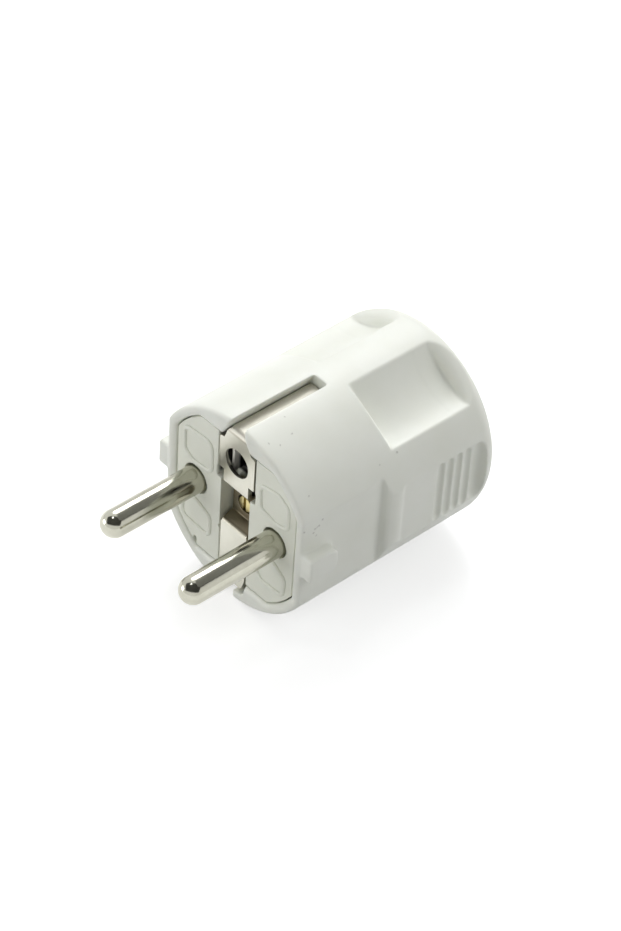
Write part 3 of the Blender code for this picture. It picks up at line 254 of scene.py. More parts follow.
# Materials. Every pattern reads Object coordinates, in metres.
class MaterialDesk:  # keeps one material's nodes at hand
    def __init__(self, name):
        self.material = bpy.data.materials.new(name)
        self.material.use_nodes = True
        self.nodes = self.material.node_tree.nodes
        self.links = self.material.node_tree.links
        self.shader = self.nodes["Principled BSDF"]
        self.place = self.nodes.new("ShaderNodeTexCoord").outputs["Object"]

    def stretched(self, scale):
        node = self.nodes.new("ShaderNodeMapping")
        node.inputs["Scale"].default_value = scale
        self.links.new(self.place, node.inputs["Vector"])
        return node.outputs["Vector"]

    def noise(self, scale, detail, roughness=0.5, vector=None):
        node = self.nodes.new("ShaderNodeTexNoise")
        node.inputs["Scale"].default_value = scale
        node.inputs["Detail"].default_value = detail
        node.inputs["Roughness"].default_value = roughness
        self.links.new(vector or self.place, node.inputs["Vector"])
        return node.outputs["Fac"]

    def spread(self, value, low, high, fromLow=0.3, fromHigh=0.7):
        node = self.nodes.new("ShaderNodeMapRange")
        node.inputs["From Min"].default_value = fromLow
        node.inputs["From Max"].default_value = fromHigh
        node.inputs["To Min"].default_value = low
        node.inputs["To Max"].default_value = high
        self.links.new(value, node.inputs["Value"])
        return node.outputs["Result"]

    def mixed(self, share, first, second):
        node = self.nodes.new("ShaderNodeMix")
        node.data_type = "RGBA"
        self.links.new(share, node.inputs["Factor"])
        sockets = [socket for socket in node.inputs if socket.type == "RGBA"]
        for socket, colour in zip(sockets, (first, second)):
            if isinstance(colour, tuple):
                socket.default_value = (*colour, 1)
            else:
                self.links.new(colour, socket)
        return [socket for socket in node.outputs if socket.type == "RGBA"][0]

    def eased(self, value, how, amount):
        node = self.nodes.new("ShaderNodeMath")
        node.operation = how
        self.links.new(value, node.inputs[0])
        if isinstance(amount, (int, float)):
            node.inputs[1].default_value = amount
        else:
            self.links.new(amount, node.inputs[1])
        return node.outputs["Value"]

    def marks(self, places):  # small soil marks at plug places (x, y, z, radius), ragged at their rims
        shake, rim = markSet["shake"], markSet["rim"]
        ragged = self.nodes.new("ShaderNodeTexNoise")
        ragged.inputs["Scale"].default_value = markSet["scale"]
        self.links.new(self.place, ragged.inputs["Vector"])
        shaken = self.nodes.new("ShaderNodeVectorMath")
        shaken.operation = "MULTIPLY_ADD"
        self.links.new(ragged.outputs["Color"], shaken.inputs[0])
        shaken.inputs[1].default_value = (shake * mm,) * 3
        self.links.new(self.place, shaken.inputs[2])
        found = None
        for x, y, z, radius in places:
            away = self.nodes.new("ShaderNodeVectorMath")
            away.operation = "DISTANCE"
            self.links.new(shaken.outputs["Vector"], away.inputs[0])
            middle = Vector((x + shake / 2, y + shake / 2, z + shake / 2))
            away.inputs[1].default_value = plugSpot + middle * mm
            dot = self.spread(away.outputs["Value"], 1, 0, radius * rim * mm, radius * mm)
            found = self.eased(dot, "MAXIMUM", found) if found else dot
        return found

    def within(self, axis, low, high, edge):  # 1 between two plug heights on an axis, else 0
        apart = self.nodes.new("ShaderNodeSeparateXYZ")
        self.links.new(self.place, apart.inputs[0])
        shift = plugSpot["XYZ".index(axis)] / mm
        value = apart.outputs[axis]
        rise = self.spread(value, 0, 1, (low + shift - edge) * mm, (low + shift) * mm)
        fall = self.spread(value, 1, 0, (high + shift) * mm, (high + shift + edge) * mm)
        return self.eased(rise, "MULTIPLY", fall)

    def region(self, edge, spans):  # 1 inside a box in plug places, with a soft edge
        found = None
        for axis, (low, high) in spans.items():
            part = self.within(axis, low, high, edge)
            found = self.eased(found, "MULTIPLY", part) if found else part
        return found

    def bump(self, height, strength, distance):
        node = self.nodes.new("ShaderNodeBump")
        node.inputs["Strength"].default_value = strength
        node.inputs["Distance"].default_value = distance * mm
        self.links.new(height, node.inputs["Height"])
        self.links.new(node.outputs["Normal"], self.shader.inputs["Normal"])


# Noise scales are in cycles a metre, and places, edges and depths in plug millimetres
markSet = {"scale": 1900, "shake": 0.5, "rim": 0.4, "colour": (0.34, 0.33, 0.29), "share": 0.45}
plasticSet = {
    "cloud": 140, "glossGrain": 900, "grain": 2600, "grainBump": (0.25, 0.02),
    "ior": 1.5, "scatter": 0.12, "scatterRadius": (1.0, 0.9, 0.8), "scatterDepth": 0.8,
    "shell": {
        "light": (0.87, 0.885, 0.81), "deep": (0.835, 0.85, 0.765), "gloss": (0.34, 0.46),
        "marks": [
            (14.5, 20.5, 11.1, 0.28), (14.8, 16.7, 10.8, 0.2), (13.95, 2.5, 11.8, 0.26),
            (16.1, 3.0, 6.85, 0.32), (16.1, 2.6, 6.7, 0.24), (16.1, 3.7, 7.8, 0.28),
            (16.1, 2.2, 6.6, 0.34), (16.1, 1.9, 5.9, 0.3), (16.1, -0.1, 7.2, 0.3),
            (16.1, 2.55, 5.0, 0.26), (3.0, 6.8, 18.05, 0.24), (6.0, 5.7, 17.3, 0.26),
            (5.6, 1.3, 17.4, 0.22), (6.6, 2.7, 17.1, 0.24), (-15.9, 9.0, 8.6, 0.24),
            (-9.0, 27.0, 15.9, 0.26), (5.0, 38.0, -17.0, 0.3), (-16.1, 12.0, -4.0, 0.28),
        ],
    },
    "insert": {
        "light": (0.845, 0.86, 0.755), "deep": (0.805, 0.82, 0.71), "gloss": (0.38, 0.5),
        # painted shade: near black inside the clip's pocket, where shade falls
        "paintedPocketShade": {"colour": (0.05, 0.048, 0.04), "edge": 0.6,
                 "spans": {"X": (-4.6, 4.6), "Y": (0.9, 12.8), "Z": (5.2, 13.5)}},
    },
}


def mouldedPlastic(name, look):
    s = plasticSet
    desk = MaterialDesk(name)
    cloud = desk.spread(desk.noise(s["cloud"], 4), 0, 1)
    colour = desk.mixed(cloud, look["light"], look["deep"])
    if "marks" in look:
        soil = desk.eased(desk.marks(look["marks"]), "MULTIPLY", markSet["share"])
        colour = desk.mixed(soil, colour, markSet["colour"])
    if "paintedPocketShade" in look:  # painted shade: the clip's pocket is darkened to near black where shade falls
        paintedPocketShade = look["paintedPocketShade"]
        colour = desk.mixed(desk.region(paintedPocketShade["edge"], paintedPocketShade["spans"]), colour, paintedPocketShade["colour"])
    desk.links.new(colour, desk.shader.inputs["Base Color"])
    gloss = desk.spread(desk.noise(s["glossGrain"], 3), *look["gloss"])
    desk.links.new(gloss, desk.shader.inputs["Roughness"])
    desk.shader.inputs["IOR"].default_value = s["ior"]
    desk.shader.inputs["Subsurface Weight"].default_value = s["scatter"]
    desk.shader.inputs["Subsurface Radius"].default_value = s["scatterRadius"]
    desk.shader.inputs["Subsurface Scale"].default_value = s["scatterDepth"] * mm
    desk.bump(desk.noise(s["grain"], 2), *s["grainBump"])
    return desk.material


metalSet = {
    "tarnish": 260, "tarnishSpan": (0.35, 0.72), "roughness": 0.6, "shadeEdge": 0.5, "bump": 0.3,
    "nickel": {
        "light": (0.56, 0.555, 0.47), "deep": (0.46, 0.45, 0.37), "gloss": (0.1, 0.2),
        "stretch": (1, 0.06, 1), "grain": 4200, "depth": 0.012,
    },
    "strip": {
        "light": (0.66, 0.65, 0.57), "deep": (0.6, 0.59, 0.51), "gloss": (0.28, 0.36),
        "stretch": (1, 0.3, 0.3), "grain": 2600, "depth": 0.008,
        "paintedShades": [
            # painted shade and dark reflection: the back plate in the recess, the top bend and the strip by
            # the notch
            ((0.27, 0.235, 0.165), {"X": (-4, 4), "Y": (0.45, 4), "Z": (-4.1, 5)}),
            ((0.36, 0.325, 0.235), {"X": (-2.3, 2.3), "Y": (0.1, 2.6), "Z": (15.6, 17)}),
            ((0.05, 0.045, 0.035), {"X": (-4, 4), "Y": (1.1, 4), "Z": (4.3, 6)}),
        ],
        "worn": {"colour": (0.68, 0.66, 0.585), "gloss": 0.26, "edge": 0.3,
                 "faces": [{"Y": (-1, 18), "Z": (15.7, 18)}, {"Y": (-1, 18), "Z": (-18, -15.7)}]},
    },
    "spring": {
        "light": (0.95, 0.94, 0.88), "deep": (0.88, 0.87, 0.81), "gloss": (0.62, 0.7),
        "stretch": (1, 0.15, 0.5), "grain": 1800, "depth": 0.006,
        # painted shade: the clip is near black deep inside the earth pin's pocket
        "paintedShades": [((0.05, 0.048, 0.04), {"X": (-4, 4), "Y": (2.6, 14), "Z": (5, 13)})],
    },
    "brass": {
        "light": (0.62, 0.54, 0.27), "deep": (0.44, 0.36, 0.16), "gloss": (0.24, 0.4),
        "stretch": (1, 1, 1), "grain": 2600, "depth": 0.02,
    },
    "zinc": {
        "light": (0.68, 0.69, 0.7), "deep": (0.54, 0.55, 0.55), "gloss": (0.26, 0.44),
        "stretch": (1, 1, 1), "grain": 2400, "depth": 0.025,
    },
}


def workedMetal(name, look):
    s = metalSet
    desk = MaterialDesk(name)
    desk.shader.inputs["Metallic"].default_value = 1.0
    tarnish = desk.spread(desk.noise(s["tarnish"], 5, s["roughness"]), 0, 1, *s["tarnishSpan"])
    colour = desk.mixed(tarnish, look["light"], look["deep"])
    drawn = desk.noise(look["grain"], 4, s["roughness"], desk.stretched(look["stretch"]))
    gloss = desk.spread(drawn, *look["gloss"])
    # painted shade: each box's colour is mixed in where the part lies in shade
    for shadeColour, spans in look.get("paintedShades", ()):
        colour = desk.mixed(desk.region(s["shadeEdge"], spans), colour, shadeColour)
    if "worn" in look:  # the side contacts, rubbed dull by sockets
        worn = look["worn"]
        top, bottom = [desk.region(worn["edge"], spans) for spans in worn["faces"]]
        rubbed = desk.eased(top, "MAXIMUM", bottom)
        gloss = desk.eased(gloss, "ADD", desk.eased(rubbed, "MULTIPLY", worn["gloss"]))
        colour = desk.mixed(rubbed, colour, worn["colour"])
    desk.links.new(colour, desk.shader.inputs["Base Color"])
    desk.links.new(gloss, desk.shader.inputs["Roughness"])
    desk.bump(drawn, s["bump"], look["depth"])
    return desk.material


shellPlastic = mouldedPlastic("satinWhitePlastic", plasticSet["shell"])
insertPlastic = mouldedPlastic("greyWhitePlastic", plasticSet["insert"])
nickelPlate = workedMetal("polishedNickel", metalSet["nickel"])
stripMetal = workedMetal("rolledNickelStrip", metalSet["strip"])
springMetal = workedMetal("springStrip", metalSet["spring"])
turnedBrass = workedMetal("turnedBrass", metalSet["brass"])
zincSteel = workedMetal("zincPlatedSteel", metalSet["zinc"])
print("materials made")


# The round shell
shellSet = {
    "radius": 18.3, "front": -0.55, "rimRound": 0.7, "end": 41.0, "rearRound": 3.45, "sides": 256,
    "sideFlat": 16.1, "gripFlat": 17.2, "gripEnd": 36.8, "sideOver": 2, "sideReach": 22,
    "ringStart": 37.55, "ringFlat": 18.2, "ringEdge": (0.4, 0.3),
    "neck": [
        (16.1, 13.0), (16.04, 14.4), (15.95, 15.4), (15.88, 16.0), (15.86, 16.3), (15.92, 16.5),
        (16.15, 16.66), (16.5, 16.82), (16.8, 17.0), (17.02, 17.25), (17.2, 17.6), (17.36, 18.1),
        (17.46, 18.6), (17.5, 19.0), (17.47, 19.4), (17.4, 19.8), (17.34, 20.05), (17.2, 20.2),
    ],
    "foot": {"x": (-6, 6), "y": (-3, 44), "low": -20},
    "lip": [(0.12, 0.53), (0.28, 0.4), (0.5, 0.27), (0.75, 0.13)],
    "skin": {"voxel": 0.2, "passes": 8, "triangles": 190000},
}
dishSet = {
    "angle": 59.25, "half": 6.18, "sag": 2.0, "front": 19.75, "draft": 0.42, "sides": 160,
    "low": 5, "frontTop": 42, "rearTop": 43, "join": 33.0, "lap": 0.4, "rearEase": 0.03, "endY": 21.4,
    "end": [
        (12, 14.6), (15.2, 15.6), (16.3, 15.87), (16.9, 16.2), (17.3, 16.7),
        (17.55, 17.3), (17.7, 17.9), (17.8, 18.6), (17.9, 19.6), (18.6, 26),
    ],
    "endSides": 120,
}
grooveSet = {
    "half": 6.15, "tip": 0.05, "last": 34.15, "pitch": 1.95, "count": 4, "radius": 0.82, "depth": 0.6,
    "valley": (36.45, 1.45, 0.72),
}
ribSet = {"front": -0.3, "end": 5.6, "half": 2.4, "round": 1.6, "root": 1, "reach": 18.4, "edge": 0.4}
slotSet = {
    "end": 17.0, "root": (3.5, 12.7),
    "top": [(1.55, 17.95), (2.05, 16.4), (3.5, 14.1)], "low": [(1.0, 16.5), (2.7, 16.45), (3.5, 15.6)],
    "half": 1.55, "corners": (0.35, 0.95), "cornerTurn": (270, 187), "cornerPast": 1.2,
    "cornerEnd": (0.15, 0.25), "cornerLow": 15.7, "cornerTop": 1.3,
}
hollowSet = {
    "seatRadius": 16.45, "seatHalf": 14.25, "seatHigh": 14.0, "seatDepth": 5.6,
    "bayRadius": 15.65, "bayHalf": 13.45, "bayHigh": 13.2, "bayFrom": 3, "bayEnd": 17.8,
    "rearBay": 12.805, "rearBayFrom": 16.3, "rearWall": 38.2, "cableHole": 5.0, "cableRound": 1.2,
    "postHalf": 3.9, "postFrom": 17.4, "postTo": 23.4, "postTop": 2.45,
    "pocketHalf": 3.05, "pocketFrom": 19.2, "pocketTo": 22.2, "boreRadius": 1.8,
}


def quarterCut(radius, half, high):  # a circle cut by flats at its sides, top and bottom
    low, top = math.degrees(math.acos(half / radius)), math.degrees(math.asin(high / radius))
    right = arc((0, 0), radius, top, low, 14)
    right += [(x, -z) for x, z in reversed(right)]
    return bothSides(right)


def sideCutter(side):  # the side flat, the neck groove and the grip flat up to the rear ring
    s = shellSet
    bend, start = s["rimRound"], s["front"] - s["sideOver"]
    out, edge = s["radius"] + s["sideOver"], s["sideFlat"] - bend
    wider, further = s["ringEdge"]
    line = [(out, start), (edge, start)] + arc((edge, s["front"] + bend), bend, -90, 0, 5) + s["neck"]
    line += [(s["gripFlat"], s["gripEnd"]), (s["ringFlat"], s["ringStart"]),
             (s["ringFlat"] + wider, s["ringStart"] + further), (out, s["ringStart"] + further)]
    points = [(side * x, y) for x, y in line]
    return outlineBlock(f"sideCut{side}", points, "Z", -s["sideReach"], s["sideReach"])


def dishCutters(number, degrees):  # the finger dish, and its rear end that flares into the rear edge
    s, radius = dishSet, shellSet["radius"]
    angle = math.radians(degrees)
    outward, ahead = Vector((math.cos(angle), 0, math.sin(angle))), Vector((0, 1, 0))
    chord = math.sqrt(radius ** 2 - s["half"] ** 2)
    floor = (s["half"] ** 2 + s["sag"] ** 2) / (2 * s["sag"])
    centre = outward * (chord - s["sag"] + floor)
    line = [(s["low"], floor), (s["frontTop"], floor)]
    front = roundStack(f"dishCut{number}", line, s["sides"], "Y", centre)
    slope = (outward * s["draft"] + ahead).normalized()
    trim(front, outward * chord + ahead * s["front"], slope)
    trim(front, (0, s["join"] + s["lap"], 0), -ahead)
    line = [(s["low"], floor - s["rearEase"]), (s["rearTop"], floor - s["rearEase"])]
    rear = roundStack(f"dishRear{number}", line, s["sides"], "Y", centre)
    trim(rear, (0, s["join"] - s["lap"], 0), ahead)
    flare = roundStack(f"dishFlare{number}", s["end"], s["endSides"], "Z")
    flare.rotation_euler = (0, math.pi / 2 - angle, 0)
    flare.location = ahead * s["endY"] * mm
    activate(flare)
    bpy.ops.object.transform_apply(location=True, rotation=True, scale=True)
    return front, carve(rear, flare, "INTERSECT")


def grooveCutter(y, r, depth):  # an upright round-ended groove in the right grip flat
    s = grooveSet
    half = s["half"] - r
    turns = [math.pi / 2 * i / 7 for i in range(7)]
    dome = [(half + r * math.sin(t), r * math.cos(t)) for t in turns] + [(s["half"], s["tip"])]
    line = [(-height, radius) for height, radius in reversed(dome)] + dome
    return roundStack("grooveCut", line, 32, "Z", (shellSet["gripFlat"] - depth + r, y, 0))


def guideRib():
    s = ribSet
    r, half, end = s["round"], s["half"], s["end"]
    line = [(s["front"], -half)] + arc((end - r, -half + r), r, -90, 0, 8)
    line += arc((end - r, half - r), r, 0, 90, 8) + [(s["front"], half)]
    rib = outlineBlock("guideRib", line, "X", shellSet["sideFlat"] - s["root"], s["reach"])
    return roundEdges(rib, s["edge"], 3, 40)


def slotCutter(name, edge):
    right = [(edge[0][0], shellSet["radius"] + past)] + edge + [slotSet["root"]]
    return outlineBlock(name, bothSides(right), "Y", shellSet["front"] - past, slotSet["end"])


def cornerCutter():  # rounds the upper slot's two corners where they meet the rim
    s = slotSet
    half, front = s["half"], shellSet["front"]
    (inward, onward), sides = s["cornerEnd"], []
    for r in s["corners"]:
        bend = arc((half + r, front + r), r, *s["cornerTurn"], 6)
        sides.append([(half + r, front - s["cornerPast"])] + bend + [(half - inward, front + r + onward)])
    left, right = sides
    line = right + [(-x, y) for x, y in reversed(left)]
    return outlineBlock("slotCorners", line, "Z", s["cornerLow"], shellSet["radius"] + s["cornerTop"])


def shellHollow():  # everything inside the shell, as one solid
    s = hollowSet
    front, end = shellSet["front"], shellSet["end"]
    seat = quarterCut(s["seatRadius"], s["seatHalf"], s["seatHigh"])
    hollow = outlineBlock("hollow", seat, "Y", front - past, s["seatDepth"])
    for wider, depth in shellSet["lip"]:
        mouth = quarterCut(s["seatRadius"] + wider, s["seatHalf"] + wider, s["seatHigh"] + wider)
        carve(hollow, outlineBlock("mouth", mouth, "Y", front - past + depth, front + depth), "UNION")
    bay = quarterCut(s["bayRadius"], s["bayHalf"], s["bayHigh"])
    carve(hollow, outlineBlock("bay", bay, "Y", s["bayFrom"], s["bayEnd"]), "UNION")
    line = [(s["rearBayFrom"], s["rearBay"]), (s["rearWall"], s["rearBay"])]
    carve(hollow, roundStack("rearBay", line, 128), "UNION")
    bend = s["cableRound"]
    wide = s["cableHole"] + bend
    line = [(s["rearWall"] - past, s["cableHole"])] + arc((end - bend, wide), bend, -90, 0, 8)
    carve(hollow, roundStack("cableHole", line + [(end + past, wide)], 96), "UNION")
    half = s["postHalf"]
    depths, heights = (s["postFrom"], s["postTo"]), (-s["rearBay"] - past, s["postTop"])
    post = plainBlock("post", (-half, half), depths, heights)
    half = s["pocketHalf"]
    depths, heights = (s["pocketFrom"], s["pocketTo"]), (-half, s["postTop"] + past)
    carve(post, plainBlock("pocket", (-half, half), depths, heights))
    line = [(s["postFrom"] - past, s["boreRadius"]), (s["postTo"] + past, s["boreRadius"])]
    carve(post, roundStack("postBore", line, 48))
    return carve(hollow, post)


def shellBlank():  # the round body with its rounded rim and rear edge
    s = shellSet
    bend, rear = s["rimRound"], s["rearRound"]
    line = arc((s["radius"] - bend, s["front"] + bend), bend, -90, 0, 6)
    line += arc((s["radius"] - rear, s["end"] - rear), rear, 0, 90, 16)
    return roundStack("outerShell", [(y, radius) for radius, y in line], s["sides"])


def roundShell():
    shell = shellBlank()
    for side in (-1, 1):
        carve(shell, sideCutter(side))
    foot = shellSet["foot"]
    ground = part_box("outer_shell")[0].z / mm - plugSpot.z / mm
    carve(shell, plainBlock("footCut", foot["x"], foot["y"], (foot["low"], ground)))
    angle = dishSet["angle"]
    for number, degrees in enumerate((angle, 180 - angle, -angle, angle - 180)):
        for cutter in dishCutters(number, degrees):
            carve(shell, cutter)
    s = grooveSet
    places = [s["last"] - s["pitch"] * number for number in range(s["count"])]
    for groove in [(y, s["radius"], s["depth"]) for y in places] + [s["valley"]]:
        tool = grooveCutter(*groove)
        carve(shell, mirrored(tool, "grooveLeft", 0))
        carve(shell, tool)
    rib = guideRib()
    carve(shell, mirrored(rib, "guideRibLeft", 0), "UNION")
    carve(shell, rib, "UNION")
    carve(shell, slotCutter("slotCutTop", slotSet["top"]))
    low = slotCutter("slotCutLow", slotSet["low"])
    carve(shell, mirrored(low, "slotCutTurned", 2))
    bpy.data.objects.remove(low, do_unlink=True)
    carve(shell, cornerCutter())
    carve(shell, shellHollow())
    return soften(shell, shellSet["skin"])


finishPiece(roundShell(), shellPlastic, "outer_shell")


# The front insert with its channel, recess, holes and inner works
insertSet = {
    "radius": 16.27, "half": 14.08, "high": 13.83, "thick": 5.3, "lap": 0.3, "reach": 18,
    "plateHalf": 4.4, "lowerHalf": 3.35, "channelStep": 4.7, "channelDepth": 1.2,
    "notchHalf": 4.55, "notchTop": 6.7, "recessHalf": 3.45, "recessDepth": 3.5, "recessLow": -5.0,
    "keyX": -9.1, "keyHalf": 0.38, "keyHigh": 1.45, "keyDeep": 3.2,
    "nickX": 0.05, "nickZ": -5.9, "nick": 0.34, "nickLap": 0.02,
    "pinX": 9.5, "pinHole": 2.7, "seatFrom": 4.2, "seatTo": 6.15, "seatRadius": 3.6,
    "boreRadius": 1.8, "collarRadius": 2.9, "collarTo": 5.3,
    "skin": {"voxel": 0.15, "passes": 5, "triangles": 170000},
}
worksSet = {  # what stands behind the insert's face
    "clipHalf": 3.55, "clipLow": 6.0, "clipTop": 12.5,
    "chimneyWall": 1.0, "chimneyRoof": 0.45, "chimneyEnd": 12.0,
    "hubHalf": 5.2, "hubHigh": 4.6, "hubEnd": 14.0,
    "railHalf": 2.3, "railTop": 15.2, "railFrom": 0.3, "railEnd": 16.5,
    "shelfTop": -3.9, "shelfThick": 0.9, "shelfOut": 13.0, "shelfEnd": 16.0,
    "hookFrom": 15.1, "hookTo": 16.3, "hookHigh": 1.4, "hookIn": 5.5, "hookOut": 12.7,
    "saddleOut": 12.505, "saddleIn": 11.005, "saddleFrom": 44, "saddleTo": 136, "saddleEnd": 29.0,
    "armGapHalf": 3.4, "armGapEnd": 22.0, "armGapTop": 15,
    "clampX": 6.0, "clampY": 25.5, "bossHalf": 2.7, "bossLow": 5.6, "bossTop": 8.8,
    "nutHalf": 2.2, "nutLow": 6.6, "nutTop": 14, "clampBore": 1.4, "clampBoreTop": 6.9,
}
frameSet = {  # four thin raised lines round bare fields of the face
    "rise": 0.36, "line": 0.42, "round": 1.3,
    "corners": [
        [(-12.4, 9.5), (-12.3, 4.9), (-10.3, 3.5), (-6.4, 3.8), (-5.7, 4.7), (-5.9, 10.0)],
        [(5.65, 9.6), (5.9, 5.1), (9.4, 4.1), (12.4, 4.7), (12.25, 9.1), (10.2, 10.4)],
        [(5.8, -5.3), (5.8, -8.8), (7.2, -10.1), (12.1, -9.8), (12.3, -6.0), (9.6, -4.2)],
        [(-5.7, -5.6), (-5.65, -10.0), (-11.7, -9.65), (-12.5, -8.4), (-12.2, -5.2), (-9.4, -4.2)],
    ],
}


def cordSaddle(root):  # the arched arm that the cable is clamped to, open round the earth screw
    s = worksSet
    line = arc((0, 0), s["saddleOut"], s["saddleFrom"], s["saddleTo"], 24)
    line += arc((0, 0), s["saddleIn"], s["saddleTo"], s["saddleFrom"], 24)
    saddle = outlineBlock("saddle", line, "Y", root, s["saddleEnd"])
    half, depths = s["armGapHalf"], (root - past, s["armGapEnd"])
    return carve(saddle, plainBlock("armGap", (-half, half), depths, (0, s["armGapTop"])))


def insertBlocks():
    s, lap = worksSet, insertSet["lap"]
    root = insertSet["thick"] - past
    half, wide = s["hubHalf"], s["clipHalf"] + s["chimneyWall"]
    pieces = [
        plainBlock("hub", (-half, half), (root, s["hubEnd"]), (-s["hubHigh"], s["hubHigh"])),
        cordSaddle(root),
        plainBlock("chimney", (-wide, wide), (root, s["chimneyEnd"]),
                   (s["hubHigh"] - lap, s["clipTop"] + s["chimneyRoof"])),
    ]
    top, thick = s["shelfTop"], s["shelfThick"]
    for side in (-1, 1):
        heights = sorted((side * s["clipTop"], side * s["railTop"]))
        half, depths = s["railHalf"], (s["railFrom"], s["railEnd"])
        pieces.append(plainBlock(f"rail{side}", (-half, half), depths, heights))
        span = sorted((side * (s["hubHalf"] - past), side * s["shelfOut"]))
        pieces.append(plainBlock(f"shelf{side}", span, (root, s["shelfEnd"]), (top - thick, top)))
        span = sorted((side * s["hookIn"], side * s["hookOut"]))
        depths, heights = (s["hookFrom"], s["hookTo"]), (top - thick / 2, top + s["hookHigh"])
        pieces.append(plainBlock(f"hook{side}", span, depths, heights))
        x, y, half = side * s["clampX"], s["clampY"], s["bossHalf"]
        heights = (s["bossLow"], s["bossTop"])
        pieces.append(plainBlock(f"boss{side}", (x - half, x + half), (y - half, y + half), heights))
    return pieces


def insertCutters():
    s, works = insertSet, worksSet
    wide, narrow, step, reach = s["plateHalf"], s["lowerHalf"], s["channelStep"], s["reach"]
    channel = bothSides([(wide, reach), (wide, step), (narrow, step), (narrow, -reach)])
    notch, recess, top = s["notchHalf"], s["recessHalf"], step - s["lap"]
    hollow = bothSides([(notch, s["notchTop"]), (notch, top), (recess, top), (recess, s["recessLow"])])
    clip, keySpan = works["clipHalf"], (s["keyX"] - s["keyHalf"], s["keyX"] + s["keyHalf"])
    bore, collar = s["boreRadius"], s["collarRadius"]
    tools = [
        outlineBlock("channelCut", channel, "Y", -past, s["channelDepth"]),
        outlineBlock("recessCut", hollow, "Y", -past, s["recessDepth"]),
        plainBlock("clipPocket", (-clip, clip), (0, works["chimneyEnd"] + past),
                   (works["clipLow"], works["clipTop"])),
        roundStack("screwBore", [(0, bore), (works["hubEnd"] + past, bore)], 48),
        roundStack("collarBore", [(0, collar), (s["collarTo"], collar)], 48),
        plainBlock("keyNotch", keySpan, (-past, s["keyDeep"]), (-reach, -s["high"] + s["keyHigh"])),
    ]
    for side in (-1, 1):
        pin, hole, seat = (side * s["pinX"], 0, 0), s["pinHole"], s["seatRadius"]
        line = [(-past, hole), (s["seatFrom"] + s["lap"], hole)]
        tools.append(roundStack(f"pinHole{side}", line, 72, "Y", pin))
        line = [(s["seatFrom"], seat), (s["seatTo"], seat)]
        tools.append(roundStack(f"pinSeat{side}", line, 48, "Y", pin))
        x, y, half = side * works["clampX"], works["clampY"], works["nutHalf"]
        line = [(works["bossLow"] - past, works["clampBore"]), (works["clampBoreTop"], works["clampBore"])]
        tools.append(roundStack(f"clampBore{side}", line, 40, "Z", (x, y, 0)))
        heights = (works["nutLow"], works["nutTop"])
        tools.append(plainBlock(f"clampNut{side}", (x - half, x + half), (y - half, y + half), heights))
        line = [(-past, s["nick"]), (s["channelDepth"] + s["nickLap"], s["nick"])]
        place = (side * (narrow + s["nickX"]), 0, s["nickZ"])
        tools.append(roundStack(f"nick{side}", line, 24, "Y", place))
    return tools


def raisedFrame(name, corners):  # half sunk in the face
    s = frameSet
    seam = ((Vector(corners[0]) + Vector(corners[-1])) / 2, 0)
    line = bentLine([seam] + [(corner, s["round"]) for corner in corners] + [seam], 6)[:-1]
    bpy.ops.object.select_all(action="DESELECT")
    bpy.ops.curve.primitive_nurbs_path_add()
    ridge = bpy.context.active_object
    ridge.name = name
    ridge.data.splines.clear()
    spline = ridge.data.splines.new("POLY")
    spline.points.add(len(line) - 1)
    for point, place in zip(spline.points, line):
        point.co = (*spot("Y", place.x, place.y, 0), 1)
    spline.use_cyclic_u = True
    ridge.data.dimensions = "3D"
    ridge.data.bevel_depth = s["line"] * mm
    ridge.data.bevel_resolution = 3
    bpy.ops.object.convert(target="MESH")
    bpy.ops.object.mode_set(mode="EDIT")
    bpy.ops.mesh.select_all(action="SELECT")
    bpy.ops.transform.resize(value=(1, s["rise"] / s["line"], 1), center_override=(0, 0, 0))
    return closeUp(ridge)


def frontInsert():
    s = insertSet
    face = quarterCut(s["radius"], s["half"], s["high"])
    insert = outlineBlock("frontInsert", face, "Y", 0, s["thick"])
    for piece in insertBlocks():
        carve(insert, piece, "UNION")
    for tool in insertCutters():
        carve(insert, tool)
    soften(insert, s["skin"])
    ridges = [raisedFrame(f"frame{number}", corners) for number, corners in enumerate(frameSet["corners"])]
    activate(insert)
    for ridge in ridges:
        ridge.select_set(True)
    bpy.ops.object.join()
    return insert


finishPiece(frontInsert(), insertPlastic, "front_insert")


# Pins
pinSet = {
    "x": 9.5, "radius": 2.4, "tip": -19.0, "tipTurn": 178.5, "collar": 3.3,
    "collarFrom": 4.5, "collarTo": 6.0, "stub": 1.5, "stubEnd": 10.5, "sides": 128,
}


def roundPin(name, side):
    s = pinSet
    line = arc((s["tip"] + s["radius"], 0), s["radius"], s["tipTurn"], 90, 18)
    line += [(s["collarFrom"], s["radius"]), (s["collarFrom"], s["collar"]), (s["collarTo"], s["collar"]),
             (s["collarTo"], s["stub"]), (s["stubEnd"], s["stub"])]
    return roundStack(name, line, s["sides"], "Y", (side * s["x"], 0, 0))


finishPiece(roundPin("pinLeft", -1), nickelPlate, "pin_left")
finishPiece(roundPin("pinRight", 1), nickelPlate, "pin_right")


# Earth bracket: one bent strip with the earth pin's hole
bracketSet = {
    "thick": 0.9, "contactZ": 16.4, "rear": 16.7, "mainBend": 0.5, "stepBend": 0.7,
    "stepZ": 3.65, "depth": 2.3, "lowRear": -3.2, "lowFront": -4.1,
    "stripHalf": 1.8, "upperHalf": 4.1, "upperLow": 6.9, "neckHalf": 2.9, "lowerHalf": 3.05,
    "shoulder": 13.35, "bevel": 0.3, "blankHalf": 6, "blankHigh": 20, "blankDepths": (-2, 20),
    "throat": [(1.8, 16.15), (2.05, 15.9), (2.5, 15.25), (2.9, 14.1), (3.1, 13.5)],
    "holeZ": 10.0, "hole": [(-2, 2.65), (0.4, 2.65), (0.5, 3.1), (1.2, 3.1)],
    "screwHole": [(1, 1.75), (5, 1.75)], "edge": 0.13,
}


